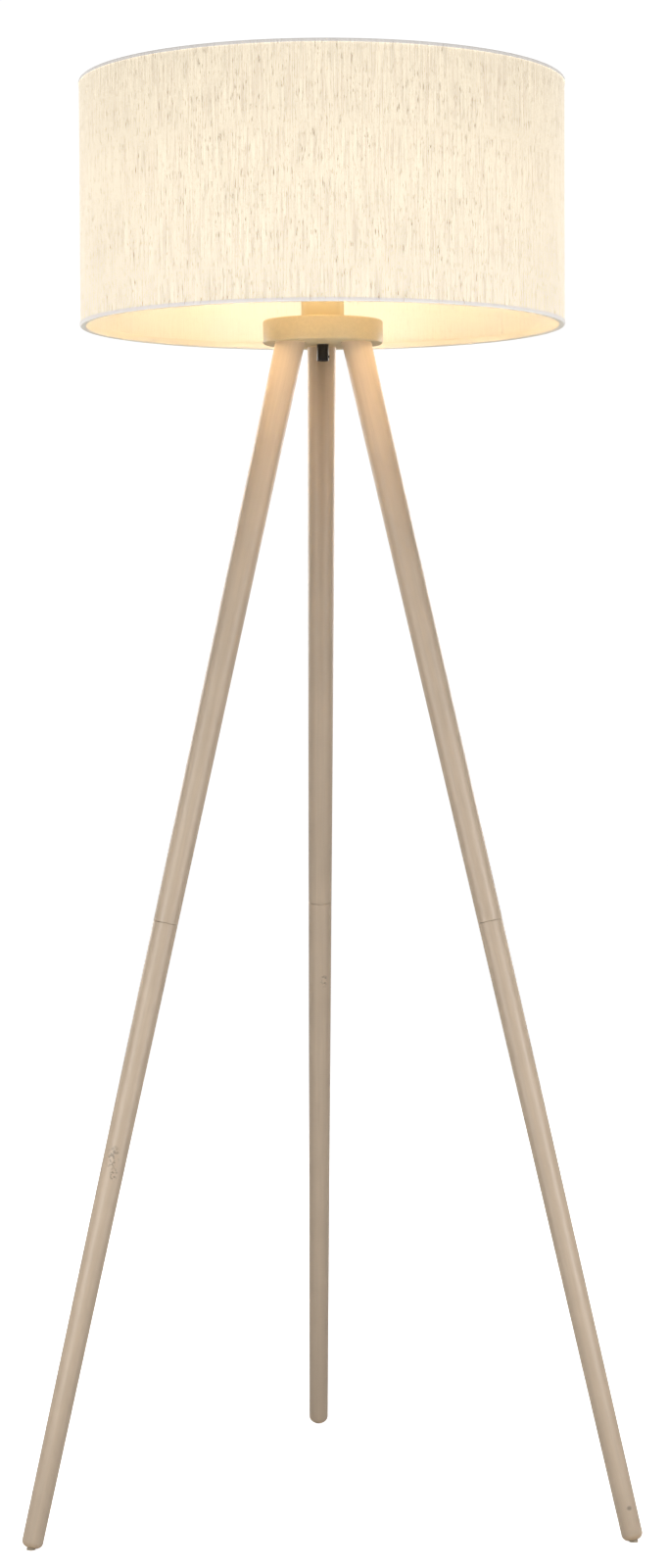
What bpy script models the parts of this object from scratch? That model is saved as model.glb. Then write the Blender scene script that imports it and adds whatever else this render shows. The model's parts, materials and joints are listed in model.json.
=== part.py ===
"""Tripod floor lamp with a drum shade, as separate pieces.

Metres, +Z up. The lamp stands on z = 0 with the middle of its footprint at the origin.
Three two-part wooden legs screw into a round hub. A cup on the hub holds an E27 lampholder,
and the lampholder's ring nut clamps the shade's wire frame onto the rim of the cup.
"""

from math import atan2, cos, degrees, pi, radians, sin

import bmesh
import bpy

# Clearance between pieces that touch
GAP = 0.0003

# Hub, a round disc with a slanted blind socket for each leg
HUB_RADIUS = 0.062
HUB_THICKNESS = 0.024
HUB_UNDERSIDE_HEIGHT = 1.208
HUB_EDGE_ROUND = 0.002
SOCKET_DEPTH = 0.010
SOCKET_CLEARANCE = 0.0009

# Legs, measured along and across each leg's own slanted axis
LEG_AZIMUTHS = {"front_left": 210.0, "front_right": 330.0, "back": 90.0}
HUB_LEG_CIRCLE_RADIUS = 0.0394
FOOT_CIRCLE_RADIUS = 0.347
UPPER_LEG_LENGTH = 0.6205
LEG_TOP_RADIUS = 0.0150
LEG_MIDDLE_RADIUS = 0.0126
LEG_FOOT_RADIUS = 0.0106
LEG_EDGE_CHAMFER = 0.0004
FOOT_END_ROUND = 0.0065
FOOT_END_HEIGHT = 0.0020

# Screws and threaded inserts that join the legs
STUD_RADIUS = 0.0040
STUD_IN_WOOD = 0.020
STUD_TIP_CHAMFER = 0.0006
INSERT_RADIUS = 0.0058
INSERT_LENGTH = 0.0105
STUD_END_PLAY = 0.0005

# Foot glide, a push-in plug whose head is cut level with the floor
GLIDE_SHANK_RADIUS = 0.0025
GLIDE_SHANK_LENGTH = 0.007
GLIDE_HEAD_RADIUS = 0.0044

# Cup round the lampholder, and the hollow nipple that clamps it to the hub
CUP_CLEARANCE = 0.0013
CUP_WALL = 0.0012
CUP_FLOOR = 0.0020
CUP_HEIGHT = 0.053
CUP_RIM_ROUND = 0.0004
NIPPLE_RADIUS = 0.0049
NIPPLE_BORE_RADIUS = 0.0035
WASHER_RADIUS = 0.0100
WASHER_THICKNESS = 0.0010
NUT_HALF_FLATS = 0.0070
NUT_THICKNESS = 0.0035
NUT_CHAMFER = 0.0004

# Cord gland under the hub, with its side clamping screw
GLAND_RADIUS = 0.0061
GLAND_LENGTH = 0.0173
GLAND_THREAD_DEPTH = 0.0075
GLAND_CORD_RADIUS = 0.0036
GLAND_EDGE_CHAMFER = 0.0007
GLAND_SCREW_RADIUS = 0.0015
GLAND_SCREW_LENGTH = 0.0042
GLAND_SCREW_CHAMFER = 0.0003
GLAND_SCREW_RISE = 0.0045

# Lampholder. Its radius sets those of the cup and fitter round it, and of all that nests in it
HOLDER_RADIUS = 0.0198
HOLDER_BASE_HEIGHT = 0.022
HOLDER_BASE_WALL = 0.0015
HOLDER_BASE_DOME = 0.009
HOLDER_BOSS_WALL = 0.0038
HOLDER_BOSS_HEIGHT = 0.009
SKIRT_HEIGHT = 0.034
SKIRT_WALL = 0.0028
SKIRT_LIP = 0.0010
SKIRT_ABOVE_CUP = 0.0107
BLOCK_CLEARANCE = 0.0005
BLOCK_HEIGHT = 0.013
SHELL_INSET = 0.0022
SHELL_WALL = 0.0006
SHELL_HEIGHT = 0.027
SHELL_RECESS = 0.0040
CONTACT_WIDTH = 0.006
CONTACT_THICKNESS = 0.0004
CONTACT_FOOT_INSET = 0.0037
CONTACT_TIP_REACH = 0.003
CONTACT_RISE = 0.0022
TERMINAL_EDGE_DISTANCE = 0.0060
TERMINAL_SHANK_RADIUS = 0.0015
TERMINAL_SHANK_LENGTH = 0.008
TERMINAL_HEAD_RADIUS = 0.0026
TERMINAL_HEAD_HEIGHT = 0.0020
RING_NUT_WALL = 0.0035
RING_NUT_FLANGE_WIDTH = 0.0054
RING_NUT_FLANGE_THICKNESS = 0.0025
RING_NUT_HEIGHT = 0.0095

# Bulb
BULB_THREAD_CLEARANCE = 0.0005
BULB_CONTACT_RADIUS = 0.0046
BULB_CONTACT_HEIGHT = 0.0020
BULB_INSULATOR_HEIGHT = 0.0027
BULB_INSULATOR_LEDGE = 0.0005
BULB_CAP_TAPER = 0.0015
BULB_CAP_SLOPE = 0.0030
BULB_CAP_WALL = 0.0005
BULB_CAP_HEIGHT = 0.0220
BULB_NECK_PLUG = 0.012
BULB_SHOULDER_OVERHANG = 0.0008
BULB_SHOULDER_HEIGHT = 0.0082
BULB_FLARE_HEIGHT = 0.0245
BULB_HOUSING_WALL = 0.0015
BULB_GLOBE_RADIUS = 0.030
BULB_GLOBE_DROP = 0.012
BULB_GLOBE_WALL = 0.0012
LED_BOARD_THICKNESS = 0.0016
LED_BOARD_SEAT = 0.003

# Shade: fabric over a stiff liner, on wire rings, with a folded edging at each end
SHADE_RADIUS = 0.250
SHADE_HEIGHT = 0.250
FABRIC_THICKNESS = 0.0005
LINER_THICKNESS = 0.0005
EDGING_THICKNESS = 0.0005
EDGING_OUTER_HEIGHT = 0.0035
EDGING_INNER_HEIGHT = 0.0070
RING_WIRE_RADIUS = 0.0018
FITTER_RISE = 0.0603
FITTER_CLEARANCE = 0.0012
FITTER_WIDTH = 0.0090
FITTER_THICKNESS = 0.0020
ARM_END_CLEARANCE = 0.00075
ARM_BEND_RADIUS = 0.008
ARM_BEND_STEPS = 5

# Facets around each kind of round piece
SHADE_FACETS = 60
WIRE_FACETS = 6
HUB_FACETS = 60
LEG_FACETS = 24
CUP_FACETS = 40
HOLDER_FACETS = 28
BULB_FACETS = 28
SMALL_FACETS = 16
SCREW_FACETS = 12
GLOBE_STEPS = 8

# Places that follow from the sizes above
LEG_SLANT = atan2(FOOT_CIRCLE_RADIUS - HUB_LEG_CIRCLE_RADIUS, HUB_UNDERSIDE_HEIGHT)
HUB_TOP = HUB_UNDERSIDE_HEIGHT + HUB_THICKNESS
LEG_TOP = SOCKET_DEPTH - GAP
LEG_SEAM = LEG_TOP - UPPER_LEG_LENGTH
LEG_FLOOR = -HUB_UNDERSIDE_HEIGHT / cos(LEG_SLANT)
LEG_END = LEG_FLOOR + FOOT_END_HEIGHT / cos(LEG_SLANT)
STUD_PROUD = INSERT_LENGTH - STUD_END_PLAY
CUP_BOTTOM = HUB_TOP + GAP
CUP_RIM = CUP_BOTTOM + CUP_HEIGHT
WASHER_BOTTOM = CUP_BOTTOM + CUP_FLOOR + GAP
NUT_BOTTOM = WASHER_BOTTOM + WASHER_THICKNESS + GAP
NUT_TOP = NUT_BOTTOM + NUT_THICKNESS
FITTER_BOTTOM = CUP_RIM + GAP
SHADE_BOTTOM = FITTER_BOTTOM - FITTER_RISE
RING_NUT_BOTTOM = FITTER_BOTTOM + FITTER_THICKNESS + GAP

# The lampholder reaches above the cup's rim. In a deep cup it stands higher on a longer nipple,
# and in a shallow one it rests on the nut.
HOLDER_HEIGHT = HOLDER_BASE_HEIGHT + GAP + SKIRT_HEIGHT
HOLDER_BOTTOM = max(NUT_TOP + GAP, CUP_RIM + SKIRT_ABOVE_CUP - HOLDER_HEIGHT)
SKIRT_TOP = HOLDER_BOTTOM + HOLDER_HEIGHT
SKIRT_BOTTOM = SKIRT_TOP - SKIRT_HEIGHT
SHELL_BOTTOM = SKIRT_TOP - SHELL_RECESS - SHELL_HEIGHT
BLOCK_TOP = SHELL_BOTTOM - GAP
BULB_TIP = SHELL_BOTTOM + CONTACT_THICKNESS + CONTACT_RISE + GAP

# Radii of what nests in the lampholder and of what goes round it
SKIRT_BORE_RADIUS = HOLDER_RADIUS - SKIRT_WALL
BLOCK_RADIUS = SKIRT_BORE_RADIUS - BLOCK_CLEARANCE
SHELL_BORE_RADIUS = BLOCK_RADIUS - SHELL_INSET - SHELL_WALL
BULB_CAP_RADIUS = SHELL_BORE_RADIUS - BULB_THREAD_CLEARANCE
CUP_BORE_RADIUS = HOLDER_RADIUS + CUP_CLEARANCE
CUP_RADIUS = CUP_BORE_RADIUS + CUP_WALL
FITTER_BORE_RADIUS = HOLDER_RADIUS + FITTER_CLEARANCE
FITTER_RADIUS = FITTER_BORE_RADIUS + FITTER_WIDTH
LINER_RADIUS = SHADE_RADIUS - FABRIC_THICKNESS - GAP
WIRE_RING_RADIUS = LINER_RADIUS - LINER_THICKNESS - GAP - RING_WIRE_RADIUS


def clear_scene():
    for obj in list(bpy.data.objects):
        bpy.data.objects.remove(obj, do_unlink=True)


def new_material(name, colour, roughness, metallic=0.0):
    finish = bpy.data.materials.new(name)
    finish.use_nodes = True
    shader = finish.node_tree.nodes["Principled BSDF"]
    shader.inputs["Base Color"].default_value = (*colour, 1.0)
    shader.inputs["Roughness"].default_value = roughness
    shader.inputs["Metallic"].default_value = metallic
    return finish


def add_to_scene(name, data, parent):
    obj = bpy.data.objects.new(name, data)
    obj.parent = parent
    bpy.context.scene.collection.objects.link(obj)
    return obj


def add_empty(name, parent=None, location=(0, 0, 0), rotation=(0, 0, 0)):
    empty = add_to_scene(name, None, parent)
    empty.location = location
    empty.rotation_euler = rotation
    return empty


def add_mesh(name, bm, finish, parent):
    """Closes off a bmesh as one named object, smooth except at its real edges."""
    bmesh.ops.recalc_face_normals(bm, faces=bm.faces)
    mesh = bpy.data.meshes.new(name)
    bm.to_mesh(mesh)
    bm.free()
    mesh.shade_smooth()
    mesh.set_sharp_from_angle(angle=radians(35))
    if finish:
        mesh.materials.append(finish)
    return add_to_scene(name, mesh, parent)


def spun(outline, facets):
    """A solid turned about Z from (radius, height) points. An outline that misses the axis is a ring."""
    bm = bmesh.new()
    points = [bm.verts.new((radius, 0, height)) for radius, height in outline]
    edges = [bm.edges.new(pair) for pair in zip(points, points[1:])]
    if outline[0][0] > 0:
        edges.append(bm.edges.new((points[-1], points[0])))
    bmesh.ops.spin(bm, geom=points + edges, axis=(0, 0, 1), cent=(0, 0, 0), angle=2 * pi, steps=facets)
    bmesh.ops.remove_doubles(bm, verts=bm.verts, dist=1e-6)
    bmesh.ops.dissolve_degenerate(bm, edges=bm.edges, dist=1e-6)
    return bm


def turned(name, outline, facets, finish, parent):
    return add_mesh(name, spun(outline, facets), finish, parent)


def prism(outline, thickness):
    """A flat outline in X and Z, thickened equally to both sides of Y = 0."""
    bm = bmesh.new()
    points = [bm.verts.new((x, -thickness / 2, z)) for x, z in outline]
    face = bm.faces.new(points)
    grown = bmesh.ops.extrude_face_region(bm, geom=[face])
    moved = [part for part in grown["geom"] if isinstance(part, bmesh.types.BMVert)]
    bmesh.ops.translate(bm, verts=moved, vec=(0, thickness, 0))
    return bm


def arc(centre, radius, start, end, steps):
    """Points (radius, height) round a centre, from one angle to another in degrees."""
    angles = [radians(start + (end - start) * step / steps) for step in range(steps + 1)]
    return [(centre[0] + radius * cos(a), centre[1] + radius * sin(a)) for a in angles]


def rod(radius, bottom, top, chamfer):
    return [
        (0, bottom),
        (radius - chamfer, bottom),
        (radius, bottom + chamfer),
        (radius, top - chamfer),
        (radius - chamfer, top),
        (0, top),
    ]


def disc(radius, bottom, top):
    return [(0, bottom), (radius, bottom), (radius, top), (0, top)]


def tube(inner, outer, bottom, top):
    return [(inner, bottom), (outer, bottom), (outer, top), (inner, top)]


def cut(obj, cutter):
    """Takes the cutter's shape out of the object, and leaves the cutter as an unrendered helper."""
    cutter.hide_render = True
    cutter.display_type = "WIRE"
    boolean = obj.modifiers.new("cut", "BOOLEAN")
    boolean.operation = "DIFFERENCE"
    boolean.solver = "EXACT"
    boolean.object = cutter


def leg_frame(side, parent):
    """An empty on the leg's axis, where it meets the hub's underside, with +Z up along the leg."""
    azimuth = radians(LEG_AZIMUTHS[side])
    place = (HUB_LEG_CIRCLE_RADIUS * cos(azimuth), HUB_LEG_CIRCLE_RADIUS * sin(azimuth), HUB_UNDERSIDE_HEIGHT)
    return add_empty(side + "_leg_axis", parent, place, (0, -LEG_SLANT, azimuth))


def build_hub(axis, leg_axes, finish):
    """The disc: a turned body, then a stepped slanted socket for each leg and its insert."""
    bottom, top = HUB_UNDERSIDE_HEIGHT, HUB_TOP
    bore = NIPPLE_RADIUS + GAP
    inset = HUB_RADIUS - HUB_EDGE_ROUND
    outline = [(bore, bottom)]
    outline += arc((inset, bottom + HUB_EDGE_ROUND), HUB_EDGE_ROUND, -90, 0, 3)
    outline += arc((inset, top - HUB_EDGE_ROUND), HUB_EDGE_ROUND, 0, 90, 3)
    outline += [(bore, top)]
    hub = turned("hub_disc", outline, HUB_FACETS, finish, axis)
    socket_radius = LEG_TOP_RADIUS + SOCKET_CLEARANCE
    insert_radius = INSERT_RADIUS + GAP
    socket_top = SOCKET_DEPTH + INSERT_LENGTH + GAP
    socket = [
        (0, -HUB_THICKNESS),
        (socket_radius, -HUB_THICKNESS),
        (socket_radius, SOCKET_DEPTH),
        (insert_radius, SOCKET_DEPTH),
        (insert_radius, socket_top),
        (0, socket_top),
    ]
    for side, leg_axis in leg_axes.items():
        cut(hub, turned(side + "_socket_cutter", socket, LEG_FACETS, None, leg_axis))


def build_leg(side, frame, finishes):
    """One leg from the hub down: insert, stud, upper leg, stud, insert, lower leg and glide."""
    stud_bore = STUD_RADIUS + GAP
    insert_bore = INSERT_RADIUS + GAP
    stud_length = STUD_IN_WOOD + STUD_PROUD
    wood, steel, brass, rubber = (finishes[slot] for slot in ("leg_paint", "zinc", "brass", "glide_rubber"))

    insert = tube(stud_bore, INSERT_RADIUS, SOCKET_DEPTH, SOCKET_DEPTH + INSERT_LENGTH)
    turned(side + "_hub_insert", insert, SMALL_FACETS, brass, frame)
    stud_bottom = LEG_TOP - STUD_IN_WOOD
    stud = rod(STUD_RADIUS, stud_bottom, stud_bottom + stud_length, STUD_TIP_CHAMFER)
    turned(side + "_top_stud", stud, SCREW_FACETS, steel, frame)

    bore_depth = STUD_IN_WOOD + GAP
    upper = [
        (0, LEG_SEAM + bore_depth),
        (stud_bore, LEG_SEAM + bore_depth),
        (stud_bore, LEG_SEAM),
        (LEG_MIDDLE_RADIUS - LEG_EDGE_CHAMFER, LEG_SEAM),
        (LEG_MIDDLE_RADIUS, LEG_SEAM + LEG_EDGE_CHAMFER),
        (LEG_TOP_RADIUS, 0),
        (LEG_TOP_RADIUS, LEG_TOP - LEG_EDGE_CHAMFER),
        (LEG_TOP_RADIUS - LEG_EDGE_CHAMFER, LEG_TOP),
        (stud_bore, LEG_TOP),
        (stud_bore, LEG_TOP - bore_depth),
        (0, LEG_TOP - bore_depth),
    ]
    turned(side + "_upper_leg", upper, LEG_FACETS, wood, frame)

    lower_top = LEG_SEAM - GAP
    stud_top = LEG_SEAM + STUD_IN_WOOD
    stud = rod(STUD_RADIUS, stud_top - stud_length, stud_top, STUD_TIP_CHAMFER)
    turned(side + "_mid_stud", stud, SCREW_FACETS, steel, frame)
    insert = tube(stud_bore, INSERT_RADIUS, lower_top - INSERT_LENGTH, lower_top)
    turned(side + "_mid_insert", insert, SMALL_FACETS, brass, frame)

    insert_floor = lower_top - INSERT_LENGTH - GAP
    glide_bore = GLIDE_SHANK_RADIUS + GAP
    round_centre = (LEG_FOOT_RADIUS - FOOT_END_ROUND, LEG_END + FOOT_END_ROUND)
    lower = [
        (0, LEG_END + GLIDE_SHANK_LENGTH + GAP),
        (glide_bore, LEG_END + GLIDE_SHANK_LENGTH + GAP),
        (glide_bore, LEG_END),
        *arc(round_centre, FOOT_END_ROUND, -90, 0, 5),
        (LEG_MIDDLE_RADIUS, lower_top - LEG_EDGE_CHAMFER),
        (LEG_MIDDLE_RADIUS - LEG_EDGE_CHAMFER, lower_top),
        (insert_bore, lower_top),
        (insert_bore, insert_floor),
        (0, insert_floor),
    ]
    turned(side + "_lower_leg", lower, LEG_FACETS, wood, frame)
    build_glide(side, frame, rubber)


def build_glide(side, frame, finish):
    """A plug in the leg's end. Its head is cut off level with the floor, as the leg is slanted."""
    below_floor = LEG_FLOOR - 2 * GLIDE_HEAD_RADIUS
    outline = [
        (0, below_floor),
        (GLIDE_HEAD_RADIUS, below_floor),
        (GLIDE_HEAD_RADIUS, LEG_END - GAP),
        (GLIDE_SHANK_RADIUS, LEG_END - GAP),
        (GLIDE_SHANK_RADIUS, LEG_END + GLIDE_SHANK_LENGTH),
        (0, LEG_END + GLIDE_SHANK_LENGTH),
    ]
    bm = spun(outline, SMALL_FACETS)
    up = (sin(LEG_SLANT), 0, cos(LEG_SLANT))
    everything = [*bm.verts, *bm.edges, *bm.faces]
    bmesh.ops.bisect_plane(bm, geom=everything, plane_co=(0, 0, LEG_FLOOR), plane_no=up, clear_inner=True)
    bmesh.ops.holes_fill(bm, edges=[edge for edge in bm.edges if edge.is_boundary])
    add_mesh(side + "_foot_glide", bm, finish, frame)


def build_cup(axis, finishes):
    """The painted cup on the hub, and what clamps it there: nipple, washer and hexagon nut."""
    bore = NIPPLE_RADIUS + GAP
    outline = [
        (bore, CUP_BOTTOM),
        (CUP_RADIUS - CUP_RIM_ROUND, CUP_BOTTOM),
        (CUP_RADIUS, CUP_BOTTOM + CUP_RIM_ROUND),
        (CUP_RADIUS, CUP_RIM - CUP_RIM_ROUND),
        (CUP_RADIUS - CUP_RIM_ROUND, CUP_RIM),
        (CUP_BORE_RADIUS, CUP_RIM),
        (CUP_BORE_RADIUS, CUP_BOTTOM + CUP_FLOOR),
        (bore, CUP_BOTTOM + CUP_FLOOR),
    ]
    turned("socket_cup", outline, CUP_FACETS, finishes["cup_paint"], axis)
    nipple_bottom = HUB_UNDERSIDE_HEIGHT - GLAND_THREAD_DEPTH + GAP
    nipple_top = HOLDER_BOTTOM + HOLDER_BOSS_HEIGHT
    nipple = tube(NIPPLE_BORE_RADIUS, NIPPLE_RADIUS, nipple_bottom, nipple_top)
    turned("threaded_nipple", nipple, SMALL_FACETS, finishes["zinc"], axis)
    washer = tube(bore, WASHER_RADIUS, WASHER_BOTTOM, WASHER_BOTTOM + WASHER_THICKNESS)
    turned("cup_washer", washer, SMALL_FACETS, finishes["zinc"], axis)
    nut_outline = rod(NUT_HALF_FLATS / cos(radians(30)), NUT_BOTTOM, NUT_TOP, NUT_CHAMFER)
    nut = turned("cup_lock_nut", nut_outline, 6, finishes["zinc"], axis)
    hole = disc(bore, NUT_BOTTOM - NUT_THICKNESS, NUT_TOP + NUT_THICKNESS)
    cut(nut, turned("cup_lock_nut_cutter", hole, SMALL_FACETS, None, axis))


def build_gland(axis, finishes):
    """The cord gland screwed onto the nipple under the hub, and its side clamping screw."""
    top = HUB_UNDERSIDE_HEIGHT - GAP
    bottom = top - GLAND_LENGTH
    thread = NIPPLE_RADIUS + GAP
    shelf = top - GLAND_THREAD_DEPTH
    outline = [
        (GLAND_CORD_RADIUS, bottom),
        (GLAND_RADIUS - GLAND_EDGE_CHAMFER, bottom),
        (GLAND_RADIUS, bottom + GLAND_EDGE_CHAMFER),
        (GLAND_RADIUS, top),
        (thread, top),
        (thread, shelf),
        (GLAND_CORD_RADIUS, shelf),
    ]
    gland = turned("cord_gland", outline, HOLDER_FACETS, finishes["black_plastic"], axis)
    screw_axis = add_empty("gland_screw_axis", axis, (0, 0, bottom + GLAND_SCREW_RISE), (0, pi / 2, 0))
    hole = disc(GLAND_SCREW_RADIUS + GAP, GLAND_CORD_RADIUS / 2, 2 * GLAND_RADIUS)
    cut(gland, turned("gland_screw_cutter", hole, SCREW_FACETS, None, screw_axis))
    outer_end = GLAND_RADIUS + GLAND_EDGE_CHAMFER
    screw = rod(GLAND_SCREW_RADIUS, outer_end - GLAND_SCREW_LENGTH, outer_end, GLAND_SCREW_CHAMFER)
    turned("gland_clamp_screw", screw, SCREW_FACETS, finishes["black_plastic"], screw_axis)


def build_holder(axis, finish):
    """The E27 lampholder's shells: the base on the nipple, the threaded skirt and the ring nut on it."""
    bore = NIPPLE_RADIUS + GAP
    boss = bore + HOLDER_BOSS_WALL
    base_top = SKIRT_BOTTOM - GAP
    boss_top = HOLDER_BOTTOM + HOLDER_BOSS_HEIGHT
    dome_centre = (HOLDER_RADIUS - HOLDER_BASE_DOME, HOLDER_BOTTOM + HOLDER_BASE_DOME)
    base = [
        (bore, HOLDER_BOTTOM),
        *arc(dome_centre, HOLDER_BASE_DOME, -90, 0, 4),
        (HOLDER_RADIUS, base_top),
        (HOLDER_RADIUS - HOLDER_BASE_WALL, base_top),
        *arc(dome_centre, HOLDER_BASE_DOME - HOLDER_BASE_WALL, 0, -90, 2),
        (boss, HOLDER_BOTTOM + HOLDER_BASE_WALL),
        (boss, boss_top),
        (bore, boss_top),
    ]
    turned("holder_base", base, HOLDER_FACETS, finish, axis)
    skirt = [
        (SKIRT_BORE_RADIUS, SKIRT_BOTTOM),
        (HOLDER_RADIUS, SKIRT_BOTTOM),
        (HOLDER_RADIUS, SKIRT_TOP - SKIRT_LIP),
        (HOLDER_RADIUS - SKIRT_LIP, SKIRT_TOP),
        (SKIRT_BORE_RADIUS, SKIRT_TOP),
    ]
    turned("holder_skirt", skirt, HOLDER_FACETS, finish, axis)
    thread = HOLDER_RADIUS + GAP
    collar = thread + RING_NUT_WALL
    flange = collar + RING_NUT_FLANGE_WIDTH
    flange_top = RING_NUT_BOTTOM + RING_NUT_FLANGE_THICKNESS
    ring_nut = [
        (thread, RING_NUT_BOTTOM),
        (flange, RING_NUT_BOTTOM),
        (flange, flange_top),
        (collar, flange_top),
        (collar, RING_NUT_BOTTOM + RING_NUT_HEIGHT),
        (thread, RING_NUT_BOTTOM + RING_NUT_HEIGHT),
    ]
    turned("shade_ring_nut", ring_nut, HOLDER_FACETS, finish, axis)


def build_contacts(axis, finishes):
    """The lampholder's inside: insulating block, screw shell, centre contact and two terminal screws."""
    block_bottom = BLOCK_TOP - BLOCK_HEIGHT
    block_outline = disc(BLOCK_RADIUS, block_bottom, BLOCK_TOP)
    block = turned("holder_contact_block", block_outline, HOLDER_FACETS, finishes["ceramic"], axis)
    shell = tube(SHELL_BORE_RADIUS, SHELL_BORE_RADIUS + SHELL_WALL, SHELL_BOTTOM, SHELL_BOTTOM + SHELL_HEIGHT)
    turned("holder_screw_shell", shell, HOLDER_FACETS, finishes["brass"], axis)

    foot_reach = SHELL_BORE_RADIUS - CONTACT_FOOT_INSET
    low, high = SHELL_BOTTOM, SHELL_BOTTOM + CONTACT_RISE
    contact = [
        (foot_reach, low),
        (foot_reach, low + CONTACT_THICKNESS),
        (CONTACT_TIP_REACH, low + CONTACT_THICKNESS),
        (0, high + CONTACT_THICKNESS),
        (-CONTACT_TIP_REACH, high + CONTACT_THICKNESS),
        (-CONTACT_TIP_REACH, high),
        (0, high),
        (CONTACT_TIP_REACH, low),
    ]
    add_mesh("holder_centre_contact", prism(contact, CONTACT_WIDTH), finishes["brass"], axis)

    head_bottom = block_bottom - GAP - TERMINAL_HEAD_HEIGHT
    shank_top = block_bottom + TERMINAL_SHANK_LENGTH
    screw = [
        (0, head_bottom),
        (TERMINAL_HEAD_RADIUS, head_bottom),
        (TERMINAL_HEAD_RADIUS, block_bottom - GAP),
        (TERMINAL_SHANK_RADIUS, block_bottom - GAP),
        (TERMINAL_SHANK_RADIUS, shank_top),
        (0, shank_top),
    ]
    hole = disc(TERMINAL_SHANK_RADIUS + GAP, block_bottom - TERMINAL_HEAD_HEIGHT, shank_top + GAP)
    offset = BLOCK_RADIUS - TERMINAL_EDGE_DISTANCE
    for name, place in (("live", offset), ("neutral", -offset)):
        terminal = add_empty(name + "_terminal_axis", axis, (0, place, 0))
        cut(block, turned(name + "_terminal_cutter", hole, SCREW_FACETS, None, terminal))
        turned(name + "_terminal_screw", screw, SCREW_FACETS, finishes["zinc"], terminal)


def build_bulb(axis, finishes):
    """The E27 bulb, screwed in until its tip meets the centre contact. Heights are above that tip."""
    tip = [
        (0, 0),
        (BULB_CONTACT_RADIUS - BULB_CONTACT_HEIGHT / 2, 0),
        (BULB_CONTACT_RADIUS, BULB_CONTACT_HEIGHT / 2),
        (BULB_CONTACT_RADIUS, BULB_CONTACT_HEIGHT),
        (0, BULB_CONTACT_HEIGHT),
    ]
    turned("bulb_contact", tip, SMALL_FACETS, finishes["zinc"], axis)
    mouth = BULB_CAP_RADIUS - BULB_CAP_TAPER
    mouth_bore = mouth - BULB_CAP_WALL
    cap_bore = BULB_CAP_RADIUS - BULB_CAP_WALL
    insulator_bottom = BULB_CONTACT_HEIGHT + GAP
    cap_bottom = insulator_bottom + BULB_INSULATOR_HEIGHT
    cap_shoulder = cap_bottom + BULB_CAP_SLOPE
    cap_top = cap_bottom + BULB_CAP_HEIGHT
    insulator = [
        (0, insulator_bottom),
        (BULB_CONTACT_RADIUS + BULB_INSULATOR_LEDGE, insulator_bottom),
        (mouth_bore - GAP, cap_bottom),
        (mouth_bore - GAP, cap_shoulder),
        (0, cap_shoulder),
    ]
    turned("bulb_insulator", insulator, SMALL_FACETS, finishes["black_plastic"], axis)
    cap = [
        (mouth_bore, cap_bottom),
        (mouth, cap_bottom),
        (BULB_CAP_RADIUS, cap_shoulder),
        (BULB_CAP_RADIUS, cap_top),
        (cap_bore, cap_top),
        (cap_bore, cap_shoulder),
    ]
    turned("bulb_cap", cap, BULB_FACETS, finishes["zinc"], axis)

    plug = cap_bore - GAP
    plug_bore = plug - BULB_HOUSING_WALL
    shoulder = cap_top + GAP
    neck = BULB_CAP_RADIUS + BULB_SHOULDER_OVERHANG
    flare_start = shoulder + BULB_SHOULDER_HEIGHT
    flare_top = flare_start + BULB_FLARE_HEIGHT
    rim_radius = (BULB_GLOBE_RADIUS**2 - BULB_GLOBE_DROP**2) ** 0.5
    board_radius = rim_radius - BULB_GLOBE_WALL - GAP
    housing = [
        (plug_bore, shoulder - BULB_NECK_PLUG),
        (plug, shoulder - BULB_NECK_PLUG),
        (plug, shoulder),
        (neck, shoulder),
        (neck, flare_start),
        (rim_radius, flare_top),
        (rim_radius - BULB_GLOBE_WALL - LED_BOARD_SEAT, flare_top),
        (plug_bore, flare_start),
    ]
    turned("bulb_housing", housing, BULB_FACETS, finishes["bulb_plastic"], axis)
    board = disc(board_radius, flare_top + GAP, flare_top + GAP + LED_BOARD_THICKNESS)
    turned("bulb_led_board", board, BULB_FACETS, finishes["led_board"], axis)
    build_globe(flare_top, rim_radius, axis, finishes["bulb_diffuser"])


def build_globe(housing_top, rim_radius, axis, finish):
    """The diffuser, most of a hollow ball. Both its curves end on the axis, and a flat rim joins them."""
    centre = (0, housing_top + BULB_GLOBE_DROP)
    rim_angle = -degrees(atan2(BULB_GLOBE_DROP, rim_radius))
    outer = arc(centre, BULB_GLOBE_RADIUS, rim_angle, 90, GLOBE_STEPS)
    inner = arc(centre, BULB_GLOBE_RADIUS - BULB_GLOBE_WALL, rim_angle, 90, GLOBE_STEPS)
    outer[0] = (rim_radius, housing_top + GAP)
    inner[0] = (rim_radius - BULB_GLOBE_WALL, housing_top + GAP)
    bm = bmesh.new()
    curves = []
    for curve in (outer, inner):
        curve[-1] = (0, curve[-1][1])
        curves.append([bm.verts.new((radius, 0, height)) for radius, height in curve])
    edges = [bm.edges.new(pair) for points in curves for pair in zip(points, points[1:])]
    edges.append(bm.edges.new((curves[0][0], curves[1][0])))
    geometry = curves[0] + curves[1] + edges
    bmesh.ops.spin(bm, geom=geometry, axis=(0, 0, 1), cent=(0, 0, 0), angle=2 * pi, steps=BULB_FACETS)
    bmesh.ops.remove_doubles(bm, verts=bm.verts, dist=1e-6)
    add_mesh("bulb_diffuser", bm, finish, axis)


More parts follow.
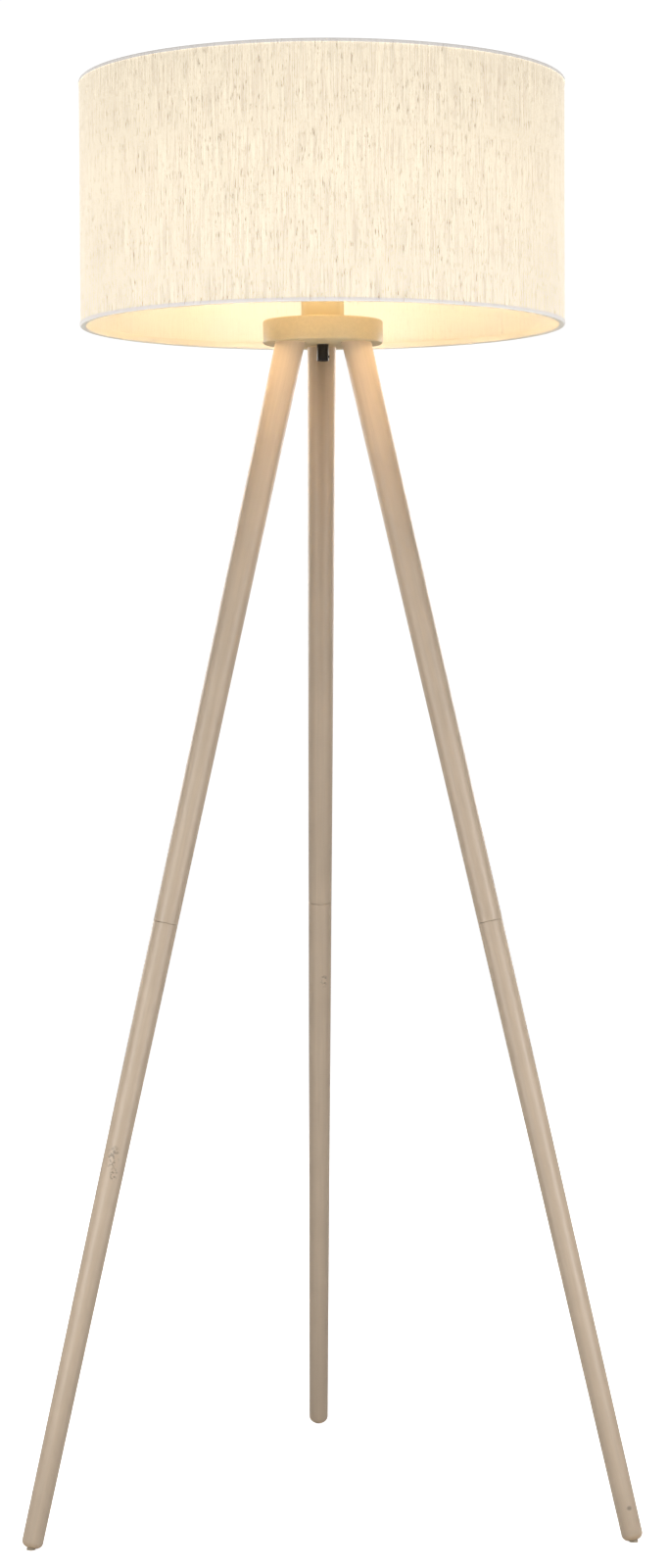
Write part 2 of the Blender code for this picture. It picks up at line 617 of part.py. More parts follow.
def build_shade(axis, finishes):
    """Fabric over liner, an edging and a wire ring at each end, and the frame that carries them."""
    wall_bottom = EDGING_THICKNESS + GAP
    wall_top = SHADE_HEIGHT - wall_bottom
    fabric = tube(SHADE_RADIUS - FABRIC_THICKNESS, SHADE_RADIUS, wall_bottom, wall_top)
    liner = tube(LINER_RADIUS - LINER_THICKNESS, LINER_RADIUS, wall_bottom, wall_top)
    turned("shade_fabric", fabric, SHADE_FACETS, finishes["shade_fabric"], axis)
    turned("shade_liner", liner, SHADE_FACETS, finishes["shade_liner"], axis)

    lip_in = SHADE_RADIUS + GAP
    lip_out = lip_in + EDGING_THICKNESS
    back_out = WIRE_RING_RADIUS - RING_WIRE_RADIUS - GAP
    back_in = back_out - EDGING_THICKNESS
    edging = [
        (back_in, 0),
        (lip_out, 0),
        (lip_out, EDGING_OUTER_HEIGHT),
        (lip_in, EDGING_OUTER_HEIGHT),
        (lip_in, EDGING_THICKNESS),
        (back_out, EDGING_THICKNESS),
        (back_out, EDGING_INNER_HEIGHT),
        (back_in, EDGING_INNER_HEIGHT),
    ]
    wire_height = EDGING_THICKNESS + GAP + RING_WIRE_RADIUS
    wire = arc((WIRE_RING_RADIUS, wire_height), RING_WIRE_RADIUS, 0, 360, WIRE_FACETS)[:-1]
    turned_over = {"bottom": lambda height: height, "top": lambda height: SHADE_HEIGHT - height}
    for end, place in turned_over.items():
        edge = [(radius, place(height)) for radius, height in edging]
        ring = [(radius, place(height)) for radius, height in wire]
        turned("shade_" + end + "_edging", edge, SHADE_FACETS, finishes["edging"], axis)
        turned("shade_" + end + "_ring", ring, SHADE_FACETS, finishes["white_wire"], axis)

    fitter = tube(FITTER_BORE_RADIUS, FITTER_RADIUS, FITTER_RISE, FITTER_RISE + FITTER_THICKNESS)
    turned("shade_fitter_ring", fitter, CUP_FACETS, finishes["white_wire"], axis)
    for side, azimuth in LEG_AZIMUTHS.items():
        place = add_empty(side + "_arm_axis", axis, (0, 0, 0), (0, 0, radians(azimuth)))
        build_arm(side, place, finishes["white_wire"])


def build_arm(side, frame, finish):
    """A wire that stands on the bottom ring, bends inwards and climbs to the fitter ring's edge."""
    foot = EDGING_THICKNESS + 2 * (GAP + RING_WIRE_RADIUS)
    bend_start = EDGING_INNER_HEIGHT + RING_WIRE_RADIUS
    end_reach = FITTER_RADIUS + ARM_END_CLEARANCE
    end_height = FITTER_RISE + FITTER_THICKNESS / 2
    turn = 90 - degrees(atan2(end_height - bend_start, WIRE_RING_RADIUS - end_reach))
    bend = arc((WIRE_RING_RADIUS - ARM_BEND_RADIUS, bend_start), ARM_BEND_RADIUS, 0, turn, ARM_BEND_STEPS)
    route = [(WIRE_RING_RADIUS, foot), *bend, (end_reach, end_height)]
    curve = bpy.data.curves.new(side + "_shade_arm", "CURVE")
    curve.dimensions = "3D"
    curve.bevel_depth = RING_WIRE_RADIUS
    curve.bevel_resolution = 1
    curve.use_fill_caps = True
    spline = curve.splines.new("POLY")
    spline.points.add(len(route) - 1)
    for point, (reach, height) in zip(spline.points, route):
        point.co = (reach, 0, height, 1)
    curve.materials.append(finish)
    add_to_scene(side + "_shade_arm", curve, frame)


def all_finishes():
    table = {
        "leg_paint": ((0.56, 0.47, 0.36), 0.42, 0.0),
        "hub_paint": ((0.58, 0.48, 0.34), 0.42, 0.0),
        "cup_paint": ((0.58, 0.48, 0.34), 0.38, 0.0),
        "zinc": ((0.68, 0.69, 0.70), 0.32, 1.0),
        "brass": ((0.72, 0.55, 0.25), 0.30, 1.0),
        "glide_rubber": ((0.45, 0.40, 0.32), 0.70, 0.0),
        "black_plastic": ((0.012, 0.011, 0.010), 0.18, 0.0),
        "holder_plastic": ((0.80, 0.79, 0.76), 0.40, 0.0),
        "ceramic": ((0.85, 0.84, 0.80), 0.35, 0.0),
        "bulb_plastic": ((0.86, 0.86, 0.84), 0.35, 0.0),
        "bulb_diffuser": ((0.95, 0.93, 0.86), 0.50, 0.0),
        "led_board": ((0.75, 0.76, 0.72), 0.45, 0.0),
        "shade_fabric": ((0.86, 0.78, 0.68), 0.85, 0.0),
        "shade_liner": ((0.92, 0.88, 0.76), 0.60, 0.0),
        "edging": ((0.84, 0.80, 0.76), 0.80, 0.0),
        "white_wire": ((0.82, 0.81, 0.78), 0.40, 0.0),
    }
    return {name: new_material(name, *values) for name, values in table.items()}


def outermost(objects, graph):
    """The lowest and highest world Y of all solids."""
    heights = []
    for obj in objects:
        evaluated = obj.evaluated_get(graph)
        mesh = evaluated.to_mesh()
        heights += [(evaluated.matrix_world @ vertex.co).y for vertex in mesh.vertices]
        evaluated.to_mesh_clear()
    return min(heights), max(heights)


def centre_on_footprint(axis):
    """Slides the whole lamp along Y until the origin is in the middle of its box."""
    bpy.context.view_layer.update()
    graph = bpy.context.evaluated_depsgraph_get()
    solids = [obj for obj in bpy.data.objects if obj.type in ("MESH", "CURVE") and not obj.hide_render]
    low, high = outermost(solids, graph)
    axis.location.y -= (low + high) / 2


def main():
    clear_scene()
    finishes = all_finishes()
    lamp_axis = add_empty("lamp_axis")
    leg_axes = {side: leg_frame(side, lamp_axis) for side in LEG_AZIMUTHS}
    build_hub(lamp_axis, leg_axes, finishes["hub_paint"])
    for side, leg_axis in leg_axes.items():
        build_leg(side, leg_axis, finishes)
    build_cup(lamp_axis, finishes)
    build_gland(lamp_axis, finishes)
    build_holder(lamp_axis, finishes["holder_plastic"])
    build_contacts(lamp_axis, finishes)
    build_bulb(add_empty("bulb_axis", lamp_axis, (0, 0, BULB_TIP)), finishes)
    build_shade(add_empty("shade_axis", lamp_axis, (0, 0, SHADE_BOTTOM)), finishes)
    centre_on_footprint(lamp_axis)


main()
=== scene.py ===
"""Looks of the tripod floor lamp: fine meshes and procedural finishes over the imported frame, a studio floor,
soft light and the camera. Metres, +Z up. Round pieces are turned about their own local Z axis."""

import json
from math import atan2, ceil, cos, pi, radians, sin, tan

import bmesh
import bpy
from mathutils import Matrix, Vector


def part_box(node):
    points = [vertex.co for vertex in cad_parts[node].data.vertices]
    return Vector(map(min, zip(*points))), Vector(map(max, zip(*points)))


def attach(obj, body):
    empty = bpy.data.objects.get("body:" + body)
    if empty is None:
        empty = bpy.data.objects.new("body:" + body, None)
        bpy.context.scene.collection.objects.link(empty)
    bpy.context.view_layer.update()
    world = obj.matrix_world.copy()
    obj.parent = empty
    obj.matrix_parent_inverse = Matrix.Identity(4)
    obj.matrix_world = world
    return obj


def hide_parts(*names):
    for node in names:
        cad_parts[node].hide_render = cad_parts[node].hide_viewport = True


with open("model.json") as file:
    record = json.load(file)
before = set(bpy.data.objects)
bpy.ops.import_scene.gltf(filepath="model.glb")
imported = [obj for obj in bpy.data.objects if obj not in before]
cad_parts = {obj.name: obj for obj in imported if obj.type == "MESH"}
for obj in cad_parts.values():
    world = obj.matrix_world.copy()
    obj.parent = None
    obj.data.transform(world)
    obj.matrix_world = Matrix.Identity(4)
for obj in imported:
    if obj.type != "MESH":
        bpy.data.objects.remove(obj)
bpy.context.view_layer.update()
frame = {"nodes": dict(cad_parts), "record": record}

SIDES = ("front_left", "front_right", "back")

# Camera, placed from the lamp's upright axis
LENS_MM = 74.3544
SENSOR_LONG_SIDE_MM = 36.0
CAMERA_DISTANCE = 3.36705
CAMERA_HEIGHT = 0.88442
CAMERA_AZIMUTH = radians(-1.707)
CAMERA_PITCH = radians(2.246)
CAMERA_ROLL = radians(-0.246)
CAMERA_YAW = radians(0.164)

# How finely pieces are turned and rounded
SHADE_FACETS = 240
LARGE_FACETS = 128
LEG_FACETS = 64
SMALL_FACETS = 48
SCREW_FACETS = 32
INSERT_FACETS = 40
BLOCK_FACETS = 96
FILLET_STEPS = 5
SHARP_ANGLE = radians(38)
NEARLY_STRAIGHT = radians(89.9)

# Small lengths: what counts as on the axis, the gap between pieces, and the stretch read at a CAD node's end
ON_AXIS = 1e-7
HAIR = 0.0003
END_SLICE = 0.0005
IN_MM = 1000

# Shade. The weld's swells are of the wire's radius, from its end inward
SEAM_AZIMUTH = radians(37)
GLOW_HEIGHT = 1.360
GLOW_AT_EDGE = 0.89
SEAM_LAP = 0.012
SEAM_STEP = 0.0006
SEAM_SLOPE = 0.0015
SEAM_SLOPE_STEPS = 4
CLOTH_ROWS = 24
TAPE_THICKNESS = 0.0005
TAPE_WAVER = 0.00012
TAPE_WAVES = ((23, 1.0, 0.0), (41, 0.7, 1.3), (97, 0.5, 0.4))
WIRE_RADIUS = 0.0018
WIRE_SIDES = 14
ARM_BEND_RADIUS = 0.008
WELD_SWELLS = (1.45, 1.35, 1.12)
WELD_ENDS = (0.004, 0.002, 0.001)

# Small shapes of hardware that the CAD keeps plain
BEND_STEPS = 8
ARM_RUN_STEPS = 6
GLOBE_STEPS = 32
FOOT_ROUND = 0.0062
HUB_ROUND = 0.0022
NUT_FACETS = 72
NUT_ROWS = 12
NUT_CHAMFER_SLOPE = 1.7
HOLDER_BOSS_WALL = 0.0038
HOLDER_DOME = 0.009
RING_NUT_FLANGE = 0.0025
RING_NUT_RIBS = 36
CONTACT_THICKNESS = 0.0004
CONTACT_BEND = 0.0012
SLOT_TURN = radians(27)
GLAND_SCREW_SLOT = (0.0006, 0.0008)
TERMINAL_SLOT = (0.0007, 0.0010)
CAP_THREAD_DEPTH = 0.0008
BULB_NECK_HEIGHT = 0.0082
BULB_FLARE_ROUND = 0.020
GLIDE_HEAD_RADIUS = 0.0044

# Studio and lamplight: powers in watts, azimuths in degrees from the front
FLOOR_SIZE = 30
WHITE = (1, 1, 1, 1)
FLOOR_GLOW = 0.84
FLOOR_BOUNCE = (0.72, 0.71, 0.70, 1)
SKY_STRENGTH = (0.28, 0.18)
BACKDROP_STRENGTH = 1.05
BULB_COLOUR = (1.0, 0.66, 0.30, 1)
BULB_STRENGTH = 82.0
SPILL_SIZE = 0.36
SPILL_COLOUR = (1.0, 0.70, 0.36)
CUP_SPILL_POWER = 0.15
LEG_SPILL_POWER = 0.36
NEAR_AZIMUTH = 44
BEHIND_AZIMUTH = 35

# Softboxes: the height aimed at, the light's elevation and distance from there, its size and its power
FRONT_BOX = (0.9, radians(20), 3.2, (1.8, 1.0), 5)
NEAR_BOX = (0.62, 0, 0.85, (0.25, 1.0), 3.4)
BEHIND_BOX = (0.7, radians(15), 3.0, (1.2, 1.6), 30)

# Paint colours of the legs and the hub. The hub's colour is the legs' sand paint made brighter and warmer:
# painted warm lamplight from the shade
SAND = (0.61, 0.485, 0.36)
LAMPLIT_SAND = (0.76, 0.59, 0.32)

# Moulded finishes: colour, roughness, fineness and depth of the skin, then any coat and specular level
MOULDED = {
    # The cup's colour is the sand paint made brighter and warmer: painted lamplight from the shade's lining
    "cup_paint": ((0.93, 0.80, 0.50), 0.36, 1100, 0.00003),
    "glide_rubber": ((0.50, 0.44, 0.34), 0.62, 700, 0.00004),
    "black_plastic": ((0.008, 0.007, 0.007), 0.26, 500, 0.00001, 0.0, 0.35),
    "holder_plastic": ((0.80, 0.79, 0.75), 0.38, 900, 0.00003),
    "ceramic": ((0.84, 0.82, 0.77), 0.24, 300, 0.00004, 0.4),
    "bulb_plastic": ((0.84, 0.84, 0.81), 0.42, 1200, 0.00004),
    "led_board": ((0.74, 0.75, 0.71), 0.40, 600, 0.00002),
    "white_wire": ((0.80, 0.79, 0.76), 0.36, 800, 0.00004),
}

# Flaws in the legs' paint: how far down the leg, how far round from its front in degrees, size along
# each axis, and whether it is a patch of pits (True) or one dark nick (False)
FLAW_REACH = 0.0115
FLAWS = {
    "front_left": ((0.851, -12, (0.008, 0.008, 0.014), True), (0.868, 10, (0.005, 0.005, 0.008), True)),
    "front_right": ((0.429, -8, (0.002, 0.002, 0.002), False), (1.212, 14, (0.0035, 0.0035, 0.003), False)),
    "back": ((0.700, 20, (0.005, 0.005, 0.010), True),),
}

# Every finish apart from the legs' paint, by the name of the CAD's material; main fills it
FINISHES = {}

# Threads: pitch and depth of each
METRIC_M8 = (0.00125, 0.00055)
METRIC_M10 = (0.0010, 0.00045)
EDISON_27 = (0.003629, 0.0011)
SKIRT_THREAD = (0.0025, 0.0008)
INSERT_THREAD = (0.0022, 0.0007)
INSERT_ROW = 0.0003
GLAND_SCREW_THREAD = (0.0005, 0.0002)
TERMINAL_THREAD = (0.0007, 0.0003)
THREAD_SAMPLES = 8


# ---- places and outlines


def centre(node):
    low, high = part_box(node)
    return (Vector(low) + Vector(high)) / 2


def upright_place():
    middle = centre("hub_disc")
    return Matrix.Translation((middle.x, middle.y, 0))


def leg_place(side):
    """A leg's frame: +Z up along the leg, with the origin level with the hub's underside."""
    lower, upper = centre(side + "_mid_insert"), centre(side + "_hub_insert")
    up = (upper - lower).normalized()
    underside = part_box("hub_disc")[0][2]
    origin = upper + up * ((underside - upper.z) / up.z)
    return Matrix.Translation(origin) @ up.to_track_quat("Z", "Y").to_matrix().to_4x4()


UPRIGHT = upright_place()
LEG_PLACES = {side: leg_place(side) for side in SIDES}


def points_of(node, place=UPRIGHT):
    inward = place.inverted()
    return [inward @ vertex.co for vertex in frame["nodes"][node].data.vertices]


def span(node, place=UPRIGHT):
    """A CAD node's lowest and highest point along a place's Z axis, and its reach from that axis."""
    points = points_of(node, place)
    heights = [point.z for point in points]
    return min(heights), max(heights), max(point.xy.length for point in points)


def bore_of(node, low, high, place=UPRIGHT):
    """How near a CAD node comes to a place's Z axis between two heights."""
    return min(point.xy.length for point in points_of(node, place) if low <= point.z <= high)


def reach_of(node, low, high, place=UPRIGHT):
    """How far a CAD node goes from a place's Z axis between two heights."""
    return max(point.xy.length for point in points_of(node, place) if low <= point.z <= high)


def foot_of(node, place=UPRIGHT):
    """A CAD node's bore and reach at its low end."""
    low = span(node, place)[0]
    return bore_of(node, low, low + END_SLICE, place), reach_of(node, low, low + END_SLICE, place)


def head_of(node, place=UPRIGHT):
    """A CAD node's bore and reach at its high end."""
    high = span(node, place)[1]
    return bore_of(node, high - END_SLICE, high, place), reach_of(node, high - END_SLICE, high, place)


def arc(corner, before, after, radius, steps):
    """Points round a corner, from the directions of its neighbours before and after it."""
    half = before.angle(after) / 2
    middle = corner + (before + after).normalized() * radius / sin(half)
    start = corner + before * radius / tan(half) - middle
    end = corner + after * radius / tan(half) - middle
    return [middle + radius * start.slerp(end, step / steps) for step in range(steps + 1)]


def rounded(corners, closed):
    """An outline of (radius, height) from corners (radius, height, rounding)."""
    points = []
    last = len(corners) - 1
    for index, (radius, height, size) in enumerate(corners):
        here = Vector((radius, height))
        if not size or (not closed and index in (0, last)):
            points.append(here)
            continue
        before = (Vector(corners[index - 1][:2]) - here).normalized()
        after = (Vector(corners[(index + 1) % len(corners)][:2]) - here).normalized()
        points += arc(here, before, after, size, FILLET_STEPS)
    return points


def dense(outline, closed, low, high, step):
    """Adds points to an outline's upright stretches between two heights, for a relief to move."""
    points = []
    pairs = zip(outline, outline[1:] + outline[:1]) if closed else zip(outline, outline[1:])
    for start, end in pairs:
        points.append(start)
        rise = abs(end.y - start.y)
        inside = low < (start.y + end.y) / 2 < high
        pieces = ceil(rise / step) if inside else 1
        points += [start.lerp(end, part / pieces) for part in range(1, pieces)]
    return points if closed else points + [outline[-1]]


def thread(low, high, size, nearest, furthest=1.0):
    """A helical groove on the surfaces between two heights and two radii, fading in and out."""
    pitch, depth = size

    def relief(radius, height, angle):
        if not (nearest <= radius <= furthest and low < height < high):
            return 0
        fade = min(1, (height - low) / pitch, (high - height) / pitch)
        turns = height / pitch - angle / (2 * pi)
        return -depth * fade * (0.5 - 0.5 * cos(2 * pi * turns))

    return relief


def ribs(low, high, count, depth, nearest):
    """Upright grooves round the outside between two heights."""

    def relief(radius, height, angle):
        if radius < nearest or not low < height < high:
            return 0
        return -depth * max(0, cos(count * angle))

    return relief


# ---- pieces


def lathe(outline, facets, closed, relief=None):
    """A closed mesh turned about Z. An open outline starts and ends on the axis."""
    bm = bmesh.new()
    rings = []
    for radius, height in outline:
        if radius < ON_AXIS:
            rings.append([bm.verts.new((0, 0, height))] * facets)
            continue
        ring = []
        for facet in range(facets):
            angle = 2 * pi * facet / facets
            out = radius + (relief(radius, height, angle) if relief else 0)
            ring.append(bm.verts.new((out * cos(angle), out * sin(angle), height)))
        rings.append(ring)
    pairs = zip(rings, rings[1:] + rings[:1]) if closed else zip(rings, rings[1:])
    for lower, upper in pairs:
        for facet in range(facets):
            corners = (lower[facet - 1], lower[facet], upper[facet], upper[facet - 1])
            corners = list(dict.fromkeys(corners))
            if len(corners) > 2:
                bm.faces.new(corners)
    return bm


def add_object(name, data, place):
    made = bpy.data.objects.new(name, data)
    made.matrix_world = place
    bpy.context.scene.collection.objects.link(made)
    return made


def mesh_from(bm, name):
    """A mesh of the bm, which it frees, with its faces turned outward."""
    bmesh.ops.recalc_face_normals(bm, faces=bm.faces)
    mesh = bpy.data.meshes.new(name)
    bm.to_mesh(mesh)
    bm.free()
    return mesh


def smooth(mesh):
    mesh.shade_smooth()
    mesh.set_sharp_from_angle(angle=SHARP_ANGLE)


def add_piece(node, bm, place=UPRIGHT, finish=None):
    """A piece in place of one CAD node, on its body and with its material slot, which names its finish."""
    slot = frame["nodes"][node].material_slots[0].name
    mesh = mesh_from(bm, node + "_fine")
    smooth(mesh)
    mesh.materials.append(finish or FINISHES[slot])
    piece = add_object(mesh.name, mesh, place)
    bodies = frame["record"]["behaviour"]["bodies"]
    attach(piece, next(body for body, held in bodies.items() if node in held))
    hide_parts(node)
    return piece


def turn_plug(node, rounding, facets):
    """A plain round piece as long and as wide as its CAD node."""
    return turn_piece(node, plug(*span(node), rounding), facets)


def turn_sleeve(node, rounding, facets):
    """A plain round tube with its CAD node's length, bore and width."""
    low, high, radius = span(node)
    return turn_piece(node, sleeve(low, high, bore_of(node, low, high), radius, rounding), facets)


def turn_piece(node, corners, facets, relief=None, zone=None, place=UPRIGHT, finish=None):
    """A turned piece for one CAD node. The zone is (low, high, step) where a relief needs close rows."""
    closed = corners[0][0] > ON_AXIS
    outline = rounded(corners, closed)
    if zone:
        outline = dense(outline, closed, *zone)
    return add_piece(node, lathe(outline, facets, closed, relief), place, finish)


def carve(piece, cutters):
    """Takes the cutters' shapes out of a piece for good, and removes the cutters."""
    for cutter in cutters:
        boolean = piece.modifiers.new("carve", "BOOLEAN")
        boolean.operation = "DIFFERENCE"
        boolean.solver = "EXACT"
        boolean.object = cutter
    bpy.context.view_layer.update()
    graph = bpy.context.evaluated_depsgraph_get()
    mesh = bpy.data.meshes.new_from_object(piece.evaluated_get(graph))
    piece.modifiers.clear()
    piece.data = mesh
    smooth(mesh)
    for cutter in cutters:
        bpy.data.objects.remove(cutter, do_unlink=True)


def add_cutter(corners, facets, place):
    """A turned cutter, from corners that start and end on its axis."""
    return add_object("cutter", mesh_from(lathe(rounded(corners, False), facets, False), "cutter"), place)


def add_slot_cutter(place, end, radius, width, depth):
    """A bar across a screw's end, which cuts its slot."""
    bar = bmesh.new()
    bmesh.ops.create_cube(bar, size=1)
    bmesh.ops.scale(bar, verts=bar.verts, vec=(width, 4 * radius, 2 * depth))
    turn = Matrix.Rotation(SLOT_TURN, 4, "Z")
    return add_object("cutter", mesh_from(bar, "cutter"), place @ Matrix.Translation((0, 0, end)) @ turn)


def plug(low, high, radius, rounding=0.0002):
    """Corners of a solid round plug."""
    return [(0, low, 0), (radius, low, rounding), (radius, high, rounding), (0, high, 0)]


def sleeve(low, high, bore, radius, rounding=0.0002):
    """Corners of a round tube."""
    corners = ((bore, low), (radius, low), (radius, high), (bore, high))
    return [(*corner, rounding) for corner in corners]


# ---- finishes


def feed(tree, socket, value):
    """Links a socket to another one, or sets it to a plain value."""
    if isinstance(value, bpy.types.NodeSocket):
        tree.links.new(value, socket)
    else:
        socket.default_value = value


def add_node(tree, kind, inputs=None, **settings):
    """A shader node with its settings and inputs."""
    node = tree.nodes.new("ShaderNode" + kind)
    for name, value in settings.items():
        setattr(node, name, value)
    for name, value in (inputs or {}).items():
        feed(tree, node.inputs[name], value)
    return node


def new_finish(name, **values):
    """A Principled material, its tree and its shader. Values are plain ones for the shader's sockets."""
    finish = bpy.data.materials.new(name)
    finish.use_nodes = True
    shader = finish.node_tree.nodes["Principled BSDF"]
    for socket, value in values.items():
        shader.inputs[socket.replace("_", " ")].default_value = value
    return finish, finish.node_tree, shader


def tinted(colour, tint):
    """A colour multiplied by a tint, channel by channel, with its alpha."""
    return (*(min(1, channel * part) for channel, part in zip(colour, tint)), 1)


def shade_of(colour, factor):
    return tinted(colour, (factor,) * 3)


def varied(tree, pattern, colour, low, high):
    """A colour that goes from one brightness to another with a pattern."""
    return blend(tree, pattern, shade_of(colour, low), shade_of(colour, high))


def own_coordinates(tree):
    return add_node(tree, "TexCoord").outputs["Object"]


def stretched(tree, vector, scale):
    return add_node(tree, "Mapping", {"Vector": vector, "Scale": scale}).outputs["Vector"]


def noise(tree, vector, scale, detail=2.0, roughness=0.5, distortion=0.0):
    inputs = {"Vector": vector, "Scale": scale, "Detail": detail, "Roughness": roughness}
    return add_node(tree, "TexNoise", {**inputs, "Distortion": distortion}).outputs["Fac"]


def band(tree, value, low, high, to_low=0.0, to_high=1.0):
    """Maps a value from one range to another, held at both ends."""
    inputs = {"Value": value, "From Min": low, "From Max": high, "To Min": to_low, "To Max": to_high}
    return add_node(tree, "MapRange", inputs).outputs["Result"]


def blend(tree, factor, first, second):
    return add_node(tree, "Mix", {0: factor, 6: first, 7: second}, data_type="RGBA").outputs[2]


def reckon(tree, operation, *values):
    node = add_node(tree, "Math", operation=operation)
    for socket, value in zip(node.inputs, values):
        feed(tree, socket, value)
    return node.outputs[0]


def times(tree, first, second):
    return reckon(tree, "MULTIPLY", first, second)


def add_bump(tree, shader, height, distance, strength=1.0):
    bump = add_node(tree, "Bump", {"Height": height, "Distance": distance, "Strength": strength})
    tree.links.new(bump.outputs["Normal"], shader.inputs["Normal"])


def dress(tree, shader, colour, roughness, height, distance):
    """Gives the shader its colour, its roughness and its fine relief."""
    tree.links.new(colour, shader.inputs["Base Color"])
    tree.links.new(roughness, shader.inputs["Roughness"])
    add_bump(tree, shader, height, distance)


def spot(tree, vector, place, size):
    """1 at a place on the surface, fading to 0 at its edge. The size is the spot's extent along each axis."""
    scale = tuple(1 / length for length in size)
    offset = tuple(-at / length for at, length in zip(place, size))
    moved = add_node(tree, "Mapping", {"Vector": vector, "Scale": scale, "Location": offset})
    away = add_node(tree, "VectorMath", {0: moved.outputs["Vector"]}, operation="LENGTH")
    return band(tree, away.outputs["Value"], 0.4, 1.0, 1.0, 0.0)


def paint(name, colour, grain, start=(0, 0, 0), worn_below=None, flaws=()):
    """Satin paint over turned wood: faint grain under the paint, a sprayed skin, dust nibs and flaws.

    The start moves the pattern, so that no two legs are alike. Paint is thin and warm below a worn height.
    """
    finish, tree, shader = new_finish(name, Specular_IOR_Level=0.65)
    own = own_coordinates(tree)
    where = add_node(tree, "Mapping", {"Vector": own, "Location": start}).outputs["Vector"]
    cloud = noise(tree, where, 22, 3)
    streak = noise(tree, stretched(tree, where, grain), 1, 4, 0.6, 0.4)
    fine_grain = stretched(tree, where, [2.6 * step for step in grain])
    pores = band(tree, noise(tree, fine_grain, 1, 2), 0.62, 0.74)
    nibs = band(tree, noise(tree, where, 420, 1), 0.74, 0.82)
    base = varied(tree, band(tree, cloud, 0.3, 0.7), colour, 0.96, 1.04)
    grained = blend(tree, band(tree, streak, 0.35, 0.65, 0.0, 0.55), base, shade_of(colour, 0.90))
    painted = blend(tree, times(tree, pores, 0.22), grained, shade_of(colour, 0.74))
    painted = blend(tree, times(tree, nibs, 0.30), painted, shade_of(colour, 1.18))
    if worn_below is not None:
        height = add_node(tree, "SeparateXYZ", {"Vector": own}).outputs["Z"]
        ragged = reckon(tree, "ADD", height, times(tree, cloud, 0.006))
        worn = band(tree, ragged, worn_below, worn_below - 0.006, 0.0, 0.7)
        painted = blend(tree, worn, painted, tinted(colour, (1.03, 0.90, 0.68)))
    pits = band(tree, noise(tree, where, 330, 2, 0.6), 0.50, 0.60)
    for place, size, pitted in flaws:
        mark = spot(tree, own, place, size)
        mark = times(tree, mark, pits) if pitted else mark
        painted = blend(tree, times(tree, mark, 0.8), painted, shade_of(colour, 0.42))
    skin = noise(tree, where, 900, 2)
    height = reckon(tree, "ADD", times(tree, streak, 0.7), times(tree, skin, 0.3))
    height = reckon(tree, "SUBTRACT", height, times(tree, pores, 0.5))
    dress(tree, shader, painted, band(tree, cloud, 0.25, 0.75, 0.34, 0.47), height, 0.00012)
    return finish


def leg_paint(side):
    """One leg's paint, with its own grain, its worn foot end and its few flaws, which face the front."""
    place = LEG_PLACES[side]
    foot = span(side + "_lower_leg", place)[0]
    front = place.inverted().to_3x3() @ Vector((0, -1, 0))
    flaws = []
    for down, turned_by, size, pitted in FLAWS[side]:
        angle = atan2(front.y, front.x) + radians(turned_by)
        radius = FLAW_REACH
        flaws.append(((radius * cos(angle), radius * sin(angle), -down), size, pitted))
    start = (SIDES.index(side) * 3.1, 0, SIDES.index(side) * 1.7)
    return paint("leg_paint_" + side, SAND, (320, 320, 9), start, foot + 0.009, flaws)


def metal(name, colour, roughness, ring_grain):
    """Plated or bare metal with turning marks, uneven polish and a little tarnish."""
    finish, tree, shader = new_finish(name, Metallic=1.0)
    where = own_coordinates(tree)
    marks = noise(tree, stretched(tree, where, ring_grain), 1, 3, 0.65)
    cloud = noise(tree, where, 160, 3)
    tarnish = band(tree, cloud, 0.35, 0.75)
    polished = varied(tree, band(tree, marks, 0.3, 0.7), colour, 0.93, 1.05)
    aged = blend(tree, times(tree, tarnish, 0.35), polished, shade_of(colour, 0.72))
    uneven = band(tree, cloud, 0.2, 0.8, roughness - 0.07, roughness + 0.12)
    dress(tree, shader, aged, uneven, marks, 0.00004)
    return finish


def moulded(name, colour, roughness, texture, depth, coat=0.0, specular=0.5):
    """Moulded plastic or glaze: a fine skin, slight flow marks and uneven gloss."""
    finish, tree, shader = new_finish(name, Coat_Weight=coat, Specular_IOR_Level=specular)
    where = own_coordinates(tree)
    flow = noise(tree, stretched(tree, where, (40, 40, 15)), 1, 2, 0.5, 0.6)
    skin = noise(tree, where, texture, 2)
    mixed = varied(tree, band(tree, flow, 0.3, 0.7), colour, 0.95, 1.04)
    uneven = band(tree, flow, 0.25, 0.75, roughness - 0.05, roughness + 0.07)
    dress(tree, shader, mixed, uneven, skin, depth)
    return finish


def unrolled(tree, radius):
    """Distance round the shade from its seam, and height, both in millimetres, as two sockets."""
    turn = add_node(tree, "VectorRotate", {"Vector": own_coordinates(tree)}, rotation_type="Z_AXIS")
    turn.inputs["Angle"].default_value = pi - SEAM_AZIMUTH
    parts = add_node(tree, "SeparateXYZ", {"Vector": turn.outputs["Vector"]})
    angle = reckon(tree, "ARCTAN2", parts.outputs["Y"], parts.outputs["X"])
    return times(tree, angle, radius * IN_MM), times(tree, parts.outputs["Z"], IN_MM)


def flat_noise(tree, around, up, wide, tall, detail=2.0, roughness=0.5, offset=0.0):
    """Noise whose grains are so many millimetres wide and tall."""
    x = times(tree, around, 1 / wide)
    y = times(tree, up, 1 / tall)
    vector = add_node(tree, "CombineXYZ", {"X": x, "Y": y, "Z": offset}).outputs["Vector"]
    return noise(tree, vector, 1, detail, roughness)


